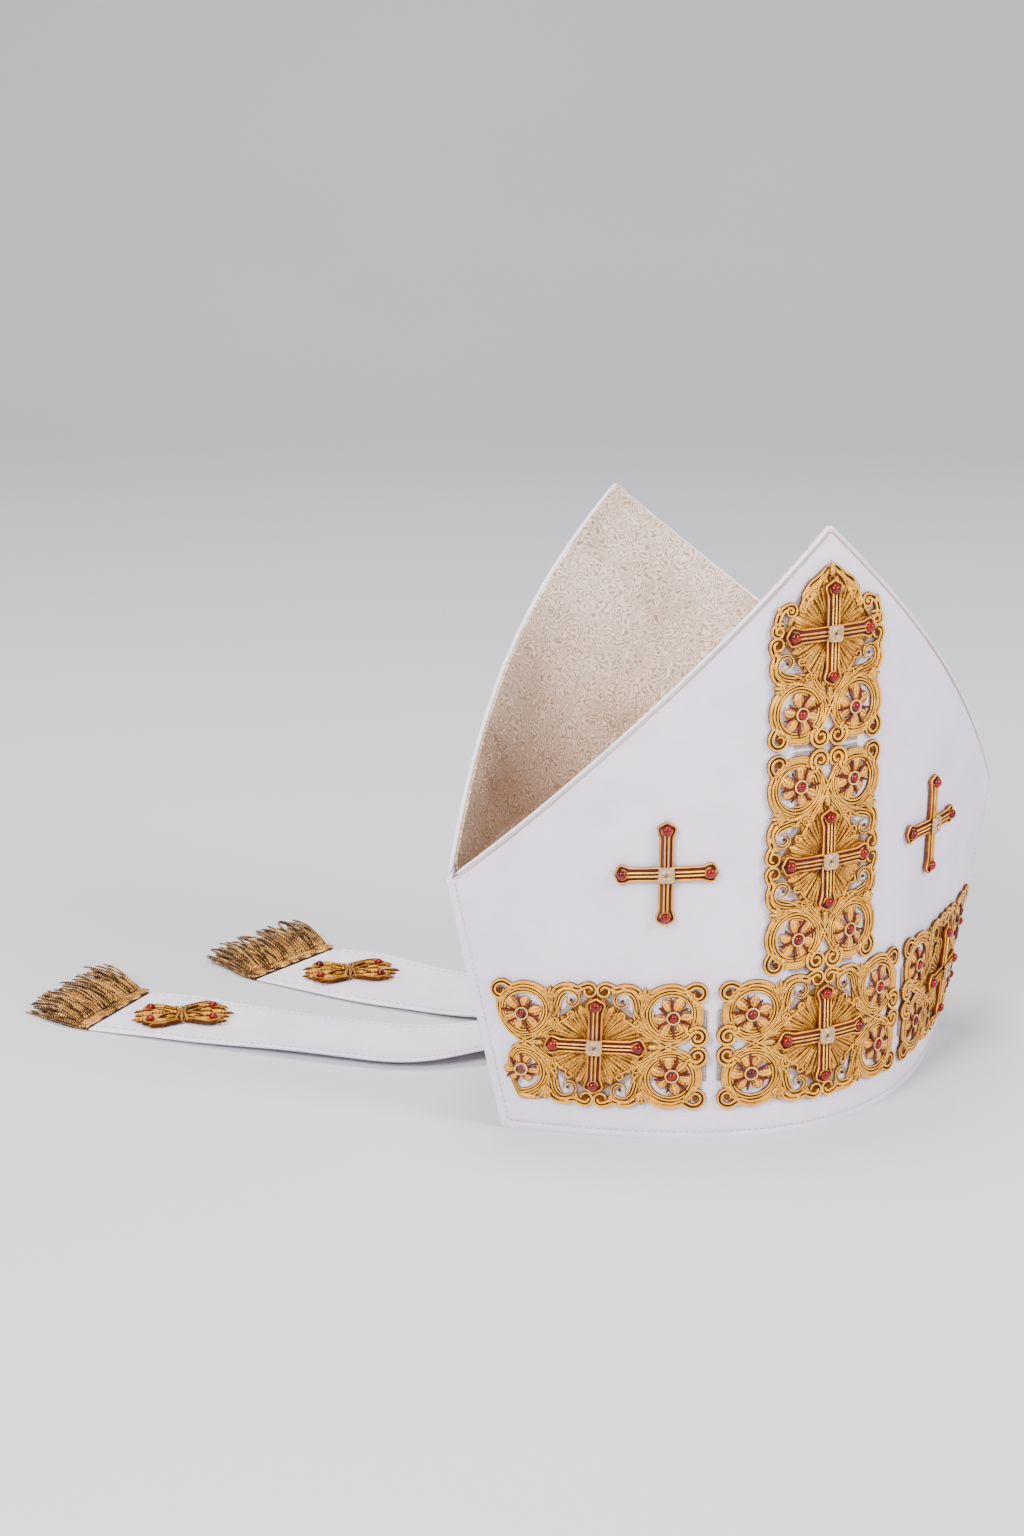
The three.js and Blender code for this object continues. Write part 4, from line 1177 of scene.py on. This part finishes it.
crosses = {reach: draw_cross(reach) for reach in (MOTIF_CROSS_REACH, SMALL_CROSS_REACH)}
for side_name, side in SIDES.items():
    for spot, along, height, reach, lift in cross_spots(side):
        name = f"{side_name}_{spot}"
        piece = crosses[reach].sewn(f"{name}_bullion_cross", side, along, height, lift, CROSS_FINISHES)
        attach(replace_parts(piece, f"{name}_cross"), "root")
        beads = Needlework()
        for x, y in ((reach, 0), (-reach, 0), (0, reach), (0, -reach)):
            beads.dome((x, y), CROSS_BEAD_RADIUS, CROSS_BEAD_HEIGHT, CROSS_BEAD_LIFT, 0)
        piece = beads.sewn(f"{name}_cross_beads", side, along, height, lift, [RUBY])
        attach(piece, "root")

# --------------------
# Settings: a small square plate of pale gilt metal with rounded corners, chased with rings round
# a tiny dark stone, pinned over the middle of each cross.
# --------------------
SETTING_HALF = 3.7
SETTING_HEIGHT = 1.3
SETTING_LIFT = 2.95


def rounded_square(turn, half, roundness=6):
    """The superellipse outline: the sum of the powers of its two coordinates is constant."""
    reach = (np.abs(np.cos(turn)) ** roundness + np.abs(np.sin(turn)) ** roundness) ** (-1 / roundness)
    return half * np.stack([reach * np.cos(turn), reach * np.sin(turn)], axis=-1)


def draw_setting():
    """The plate is a stack of outlines: foot, rounded shoulder, then the face drawn in to its
    middle with a wave of rings in its height."""
    work = Needlework()
    sides = 40
    turn = 2 * np.pi * np.arange(sides) / sides
    share = np.array([0.97, 1.0, 1.0, 0.96, 0.90, 0.84, 0.78, 0.7, 0.62, 0.54, 0.46, 0.38, 0.3, 0.22, 0.14])
    rise = np.array([0, 0.15, 0.8, 1.1, 1.2, 1.05, 1.16, 1.02, 1.16, 1.0, 1.14, 1.0, 1.12, 0.9, 0.86])
    square = rounded_square(turn, SETTING_HALF)
    circle = SETTING_HALF * np.stack([np.cos(turn), np.sin(turn)], axis=-1)
    blend = np.clip((0.9 - share) / 0.2, 0, 1)[:, None, None]
    rings = (square * (1 - blend) + circle * blend) * share[:, None, None]
    heights = np.broadcast_to((rise * SETTING_HEIGHT / rise.max())[:, None], (len(share), sides))
    points = np.concatenate([rings, heights[..., None]], axis=-1).reshape(-1, 3)
    work.stack(points, sides, 0)
    work.dome((0, 0), 0.72, 1.0, 0.75, 1, 5, 12)
    return work


def gilt_plate():
    """Pale worn gilding: rings chased into it, warm in the hollows and silvery on the crests."""
    gilt = Finish("pale_gilt_plate", Specular_IOR_Level=0.6)
    place, x, y = gilt.cloth_place()
    radius = (x ** 2 + y ** 2) ** 0.5
    rings = (radius * 8.5).sine()
    spots = gilt.noise(place, 1.4, 3)
    gilt.bump(rings * 0.4 + spots, 0.1)
    light = rings * 0.16 + spots
    return gilt.done(Base_Color=gilt.mix((0.26, 0.13, 0.055, 1), (0.90, 0.62, 0.34, 1), light.ramp(0.2, 0.8)),
                     Metallic=0.6, Roughness=0.34 + spots * 0.15)


def stone_finish():
    """A smoky brown stone, glossy, with faint mottling."""
    stone = Finish("smoky_stone", Coat_Weight=1.0, Coat_Roughness=0.05)
    cloud = stone.noise(stone.body_place(), 500, 1)
    colour = stone.mix((0.015, 0.006, 0.004, 1), (0.07, 0.03, 0.02, 1), cloud)
    return stone.done(Base_Color=colour, Roughness=0.15)


plate_work = draw_setting()
SETTING_FINISHES = [gilt_plate(), stone_finish()]
for side_name, side in SIDES.items():
    for spot, along, height, reach, lift in cross_spots(side):
        name = f"{side_name}_{spot}_setting"
        piece = plate_work.sewn(f"{name}_plate", side, along, height, lift + SETTING_LIFT, SETTING_FINISHES)
        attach(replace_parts(piece, name), "root")

# --------------------
# Lappets: two tails of doubled white cloth sewn to the foot of the back panel. They drop to the
# surface and run away behind, swept to one side. Each row below is one section of a tail: x, y and
# the under side's height, the section's heading, its width, and how far it is sewn to the panel.
# --------------------
LAPPET_THICKNESS = 2.2
LAPPET_HALF_WIDTH = 27
LAPPET_STITCH_SHARE = 0.87
LAPPETS = {
    "left": {
        "root": 50,
        "ornament": {"setback": 36, "across": 1.5},
        "rows": [
            (-49, 66, 15.8, 205, 51, 1), (-49, 68, 11.5, 205, 51, 1), (-54, 75, 8.6, 204, 53, 0.05),
            (-73, 80.5, 6.6, 205, 54, 0), (-98, 89, 3, 210, 53, 0), (-120, 104, 0.6, 216, 52, 0),
            (-147, 132, 0, 221, 52, 0), (-169, 158, 0, 221, 53, 0), (-191, 184, 0, 220, 54, 0),
            (-221, 221, 0, 214, 56, 0),
        ],
    },
    "right": {
        "root": -8,
        "ornament": {"setback": 36, "across": 1},
        "rows": [
            (8, 75, 15.8, 175, 53, 1), (8, 76.5, 11.5, 175, 53, 1), (5, 84, 8.6, 178, 55, 0.05),
            (-8, 95, 6.4, 185, 57, 0), (-26, 108, 3, 194, 57, 0), (-43, 124, 0.6, 203, 57, 0),
            (-56, 141, 0, 209, 57, 0), (-69, 160, 0, 212, 57, 0), (-90, 191, 0, 211, 58, 0),
            (-114, 238, 0, 201, 60, 0),
        ],
    },
}


def lappet_sections(lappet, part):
    """Every value of the table as a Catmull-Rom curve through its rows, at shares of the way."""
    rows = np.asarray(lappet["rows"], float)
    curve = smooth_route(rows, 64)
    shares = np.linspace(0, 1, len(curve))
    values = np.stack([np.interp(part, shares, column) for column in curve.T], axis=-1)
    values[..., 2] = np.maximum(values[..., 2], 0)
    return values


def lappet_point(lappet, part, across, above):
    """Points of a tail: part runs along it, across from -1 to 1 over its width, above is the height
    over its under side. On the sewn stretch that height is measured off the panel."""
    part, across, above = np.broadcast_arrays(part, across, above)
    x, y, z, turn, width, sewn = np.moveaxis(lappet_sections(lappet, part), -1, 0)
    reach = across * width / 2
    turn = np.radians(turn)
    free = np.stack([x + reach * np.cos(turn), y + reach * np.sin(turn), z + above], axis=-1)
    held = on_cloth(SIDES["back"], (lappet["root"] + reach) / half_girth(z), z, GAP + above)
    share = np.clip(sewn, 0, 1)[..., None]
    return free * (1 - share) + held * share


def slack(part, across, seed):
    """Slow waves of loose cloth: they rise towards the edges and fade at the root and foot."""
    wave = 1 + np.sin(13 * part + 2.2 * across + seed) * np.cos(7 * part - 1.4 * across + 2 * seed)
    edge_lift = 1.6 * np.abs(across) ** 3 * (1 + np.sin(9 * part + seed + 2 * np.sign(across)))
    return (0.5 * wave + edge_lift) * np.clip((part - 0.25) * 6, 0, 1) * np.clip((1 - part) * 14, 0, 1)


LAPPET_CLOTH = white_cloth("lappet_cloth", (0.97, 0.89, 0.99, 1))
for number, (name, lappet) in enumerate(LAPPETS.items()):
    part = np.unique(np.concatenate([np.linspace(0, 1, 150), 1 - np.linspace(0, 0.02, 6)]))[:, None]
    across = np.sin(np.linspace(-np.pi / 2, np.pi / 2, 45))[::-1][None]
    middle = LAPPET_THICKNESS / 2
    round_side = np.sqrt(np.clip(1 - np.abs(across) ** 30, 0.05, 1))
    round_edge = round_side * np.sqrt(np.clip((1 - part) * 300 + 0.1, 0, 1))
    waves = slack(part, across, number)
    crease = 0.25 * np.exp(-((1 - np.abs(across)) * LAPPET_HALF_WIDTH - 3) ** 2 / 0.8)
    upper = lappet_point(lappet, part, across, middle + waves + (middle - crease) * round_edge)
    under = lappet_point(lappet, part, across, middle + waves - middle * round_edge)
    steps = np.linalg.norm(np.diff(lappet_point(lappet, part, 0 * part, 0 * part)[:, 0], axis=0), axis=1)
    gone = np.concatenate([[0], np.cumsum(steps)])
    flat = np.stack(np.broadcast_arrays(across * LAPPET_HALF_WIDTH, gone[:, None]), axis=-1)
    tail = sheet_piece(f"{name}_tail", upper, under, flat, [LAPPET_CLOTH], crease=60)
    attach(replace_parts(tail, f"{name}_lappet"), "root")
    lappet["length"] = float(gone[-1])
    lappet["piece"] = tail

    stitching = Needlework()
    for flank in (-LAPPET_STITCH_SHARE, LAPPET_STITCH_SHARE):
        for at in np.linspace(0.05, 0.985, int(lappet["length"] / STITCH_PITCH)):
            span = np.array([at - 0.004, at, at + 0.004])
            seat = lappet_point(lappet, span, np.full(3, flank), np.zeros(3))
            rise = slack(np.array([at]), np.array([flank]), number) + LAPPET_THICKNESS - 0.25
            seat[:, 2] += rise
            stitching.strand(seat, STITCH_WIDTH, STITCH_HEIGHT, 0, sides=5, ends=0.4)
    piece = put(f"{name}_tail_topstitch", np.vstack(stitching.points), stitching.faces,
                np.vstack(stitching.corners), [STITCH_THREAD])
    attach(piece, "root")

# --------------------
# Fringes: antique gold bullion, close twisted strands in four layers, sewn across each tail's end
# under a heading of two plaits, three cords each. The strands are combed to one side.
# --------------------
HEADING_LENGTH = 5
PLAIT_PLACES = (1.5, 3.8)
FRINGE_LENGTH = 37
FRINGE_SWEEP = 13
FRINGE_SWEEP_POWER = 1.4
FRINGE_SPREAD = 3
FRINGE_STRAND = 1.2
# A row for each layer, lowest first: its height at the heading, how far it arches, and strands.
FRINGE_LAYERS = [(0.2, 0.6, 54), (1.2, 2.4, 54), (2.0, 5.0, 46), (2.6, 7.6, 38)]
chance = np.random.default_rng(7)


def past_end(lappet, beyond, across, above, sideways=0):
    """Points past a tail's end: carried on by beyond along its last heading, and sideways along its
    end line."""
    rows = np.asarray(lappet["rows"], float)
    heading = rows[-1, :2] - rows[-2, :2]
    heading = heading / np.linalg.norm(heading)
    turn = math.radians(rows[-1, 3])
    point = lappet_point(lappet, 1.0, across, above)
    point[..., :2] += np.multiply.outer(beyond, heading) + np.multiply.outer(sideways, toward(turn))
    return point


def fringe_gold():
    """Antique bullion: a soft spiral wire, painted dull bronze on each strand's flanks as painted shade and
    gold on its crest as painted highlight.
    """
    gold = Finish("antique_bullion", Specular_IOR_Level=0.4)
    _, along, around = gold.cloth_place()
    # Painted highlight on each strand's crest and painted shade on its flanks.
    top = (1 - abs(around - 0.5) * 2).ramp(0.2, 1.0)
    twist = (along * (2 * math.pi / 1.7) + around * (2 * math.pi)).sine()
    patches = gold.noise(gold.body_place(), 150, 3)
    light = top * 0.8 + twist * 0.12 + patches * 1.5
    gold.bump(twist + patches * 0.4, 0.2)
    colour = gold.mix((0.022, 0.005, 0.001, 1), (0.88, 0.42, 0.10, 1), light.ramp(1.08, 1.66))
    return gold.done(Base_Color=colour, Metallic=0.6, Roughness=0.36)


FRINGE_GOLD = fringe_gold()
for name, lappet in LAPPETS.items():
    strands = Needlework()
    start = GAP + HEADING_LENGTH - 0.8
    t = np.linspace(0, 1, 13)
    for rise, arch, count in FRINGE_LAYERS:
        for at in np.linspace(-0.97, 0.97, count) + chance.normal(0, 0.012, count):
            length = FRINGE_LENGTH * chance.uniform(0.8, 1.06)
            drift = chance.uniform(-1, 1) * (1.2 + 0.7 * arch)
            wave = 1.7 * np.sin(2 * np.pi * (t * chance.uniform(0.4, 0.9) + chance.random())) * t
            combed = at * FRINGE_SPREAD * t - FRINGE_SWEEP * t ** FRINGE_SWEEP_POWER
            sideways = combed + drift * t ** 1.5 + wave
            swell = arch * chance.uniform(0.6, 1.15) * np.sin(np.pi * 0.8 * t ** 0.8)
            settle = rise * (1 - t) + swell + chance.uniform(0, 0.45) * arch * t ** 3
            route = past_end(lappet, start + t * length, np.full(13, at), np.maximum(settle, 0), sideways)
            strands.strand(route, FRINGE_STRAND, 1.15, 0, 0, sides=5, ends=0.6)
    fringe = put(f"{name}_bullion_fringe", np.vstack(strands.points), strands.faces,
                 np.vstack(strands.corners), [FRINGE_GOLD])
    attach(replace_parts(fringe, f"{name}_fringe"), "root")

    plait = Needlework()
    line = np.linspace(-1, 1, 130)
    for place in PLAIT_PLACES:
        for phase in (0, 2 * math.pi / 3, 4 * math.pi / 3):
            swing = line * 40 + phase
            route = past_end(lappet, GAP + place + 0.85 * np.cos(swing), line, 1.3 + 0.95 * np.sin(swing))
            plait.strand(route, 1.7, 1.7, 0, 0, sides=6, ends=0.8)
    heading = put(f"{name}_plaited_heading", np.vstack(plait.points), plait.faces,
                  np.vstack(plait.corners), [FRINGE_GOLD])
    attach(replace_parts(heading, f"{name}_fringe_heading"), "root")

# --------------------
# Lappet ornaments: a bow of two pleated fans in gold bullion, back to back, with leaf tips at its
# ends and four ruby beads, sewn on each tail a little above its fringe.
# --------------------
ORNAMENT_TURN = math.radians(-24)
ORNAMENT_BEADS = (15.5, 8)
ORNAMENT_BEAD_RADIUS = 2.2
ORNAMENT_BEAD_HEIGHT = 3.6
ORNAMENT_BEAD_LIFT = 1.2
ORNAMENT_LIFT = 0.9


def draw_ornament():
    """Each fan is seven pleats that spread from a broad waist, with a cord along its flank that
    curls round a bead; ragged leaf tips close its end, and folded bands cross at the waist."""
    work = Needlework()
    beads = Needlework()
    for end in (-1, 1):
        for i in range(-3, 4):
            tip = (end * (17.4 - 0.6 * abs(i)), 3.2 * i)
            leaf(work, (end * 0.8, 2.0 * i), tip, 3.1, 2.1 + 0.8 * (i % 2), 0.1,
                 belly=0.75, bend=0.5 * i * end)
            ragged = 1.7 * math.sin(4.3 * i + end)
            tip = (end * (24.6 - 1.0 * abs(i)) + end * ragged, 3.0 * i + 0.9 * math.cos(2.7 * i))
            leaf(work, (end * 13.0, 2.6 * i), tip, 2.7, 2.2, 0.2, belly=0.4, bend=0.7 * i * end)
        for flank in (-1, 1):
            edge = scroll([(0.6, 7.6), (4.0, 8.2), (7.6, 10.4), (11.0, 12.0), (14.6, 12.3), (18.0, 10.8)],
                          (16.2, 8.3), 2.8, 2.2, 50, -0.6) * (end, flank)
            band(work, edge, (0.0, 1.1), width=1.6, height=2.4, lift=0.5, gather=0.8, until=(1, 0.6))
            spot = (end * ORNAMENT_BEADS[0], flank * ORNAMENT_BEADS[1])
            beads.dome(spot, ORNAMENT_BEAD_RADIUS, ORNAMENT_BEAD_HEIGHT, ORNAMENT_BEAD_LIFT, 0)
            leaf(work, (end * 3.0, flank * 0.6), (end * 12.6, flank * 6.6), 1.8, 2.1, 1.6,
                 belly=0.5, bend=-0.8 * end * flank)
            leaf(work, (end * 2.4, flank * 4.6), (end * 9.6, flank * 9.4), 1.6, 2.0, 1.5,
                 belly=0.5, bend=0.6 * end * flank)
    waist = np.linspace(-8.6, 8.6, 12)
    for offset in (-2.4, 0, 2.4):
        fold = np.stack([offset * (0.5 + 0.07 * np.abs(waist)), waist], axis=-1)
        work.strand(fold, 1.9, 2.2, 1.5, SATIN, sides=6)
    return work, beads


ORNAMENT_FINISHES = [
    embroidery_gold("ornament_cord", (0.10, 0.024, 0.001, 1), (0.95, 0.41, 0.05, 1), 0.9, 0.75, 0.28),
    satin_gold("ornament_satin", (0.08, 0.018, 0.001, 1), (0.95, 0.43, 0.06, 1), 0.8),
]
for name, lappet in LAPPETS.items():
    work, beads = draw_ornament()
    place = lappet["ornament"]
    centre = past_end(lappet, -place["setback"], 0.0, LAPPET_THICKNESS + GAP + ORNAMENT_LIFT, place["across"])
    spin = np.array([[math.cos(ORNAMENT_TURN), math.sin(ORNAMENT_TURN), 0],
                     [-math.sin(ORNAMENT_TURN), math.cos(ORNAMENT_TURN), 0], [0, 0, 1]])
    laid = np.vstack(work.points) @ spin + centre
    piece = put(f"{name}_bow_ornament", laid, work.faces, np.vstack(work.corners),
                ORNAMENT_FINISHES, work.kinds)
    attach(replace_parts(piece, f"{name}_lappet_ornament"), "root")
    laid = np.vstack(beads.points) @ spin + centre
    piece = put(f"{name}_ornament_beads", laid, beads.faces, np.vstack(beads.corners), [RUBY])
    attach(piece, "root")

# --------------------
# Floor, backdrop and light: one pale sweep that rises behind, a soft light on each side and one
# above, and an even pale sky.
# --------------------
SWEEP_HALF_WIDTH = 4000
SWEEP_NEAR = -3500
SWEEP_FAR = 1800
SWEEP_RADIUS = 1200
SWEEP_TOP = 4500
SKY_COLOUR = (0.93, 0.94, 1.0, 1)
SKY_STRENGTH = 0.42
sweep_angle = np.linspace(0.05, math.pi / 2, 24)
sweep_profile = np.vstack([
    [(SWEEP_NEAR, 0), (SWEEP_FAR, 0)],
    (SWEEP_FAR, 0) + SWEEP_RADIUS * np.stack([np.sin(sweep_angle), 1 - np.cos(sweep_angle)], axis=-1),
    [(SWEEP_FAR + SWEEP_RADIUS, SWEEP_TOP)],
])
sweep_turn = np.array([math.sin(-CAMERA_HEADING), math.cos(-CAMERA_HEADING)])
sweep_side = np.array([sweep_turn[1], -sweep_turn[0]])
reach = np.array([-SWEEP_HALF_WIDTH, SWEEP_HALF_WIDTH])
plan = sweep_profile[:, None, :1] * sweep_turn + reach[None, :, None] * sweep_side
level = np.broadcast_to(sweep_profile[:, None, 1:], (len(sweep_profile), 2, 1))
sweep_points = np.concatenate([plan, level], axis=-1)
sweep_faces, _, _ = grid_faces(len(sweep_profile), 2, turned=True)


def paper():
    """Pale seamless paper with a faint unevenness of tone."""
    sheet = Finish("pale_paper", Specular_IOR_Level=0.2)
    cloud = sheet.noise(sheet.body_place(), 2.0, 2)
    colour = sheet.mix((0.60, 0.60, 0.62, 1), (0.66, 0.66, 0.68, 1), cloud)
    return sheet.done(Base_Color=colour, Roughness=0.9)


floor_corners = np.zeros((sweep_faces.size, 2))
floor = put("floor", sweep_points.reshape(-1, 3), sweep_faces.tolist(), floor_corners, [paper()])


def soft_light(name, place, power, size):
    """A square studio light that faces the middle of the mitre."""
    data = bpy.data.lights.new(name, "AREA")
    data.shape = "SQUARE"
    data.size = size
    data.energy = power
    lamp = bpy.data.objects.new(name, data)
    where = np.array(place, float)
    lamp.location = (FOOT_CENTRE + where) * MM
    aim = np.array([0, 0, 130]) - where
    tilt = math.atan2(math.hypot(aim[0], aim[1]), -aim[2])
    lamp.rotation_euler = (tilt, 0, math.atan2(aim[1], aim[0]) - math.pi / 2)
    bpy.context.scene.collection.objects.link(lamp)


soft_light("left_light", (-1700, -900, 1500), 74, 0.7)
soft_light("right_light", (900, -1700, 1300), 54, 0.7)
soft_light("top_light", (-150, 250, 2200), 52, 0.9)
world = bpy.data.worlds.new("studio")
world.use_nodes = True
sky = world.node_tree.nodes["Background"].inputs
sky["Color"].default_value = SKY_COLOUR
sky["Strength"].default_value = SKY_STRENGTH
bpy.context.scene.world = world
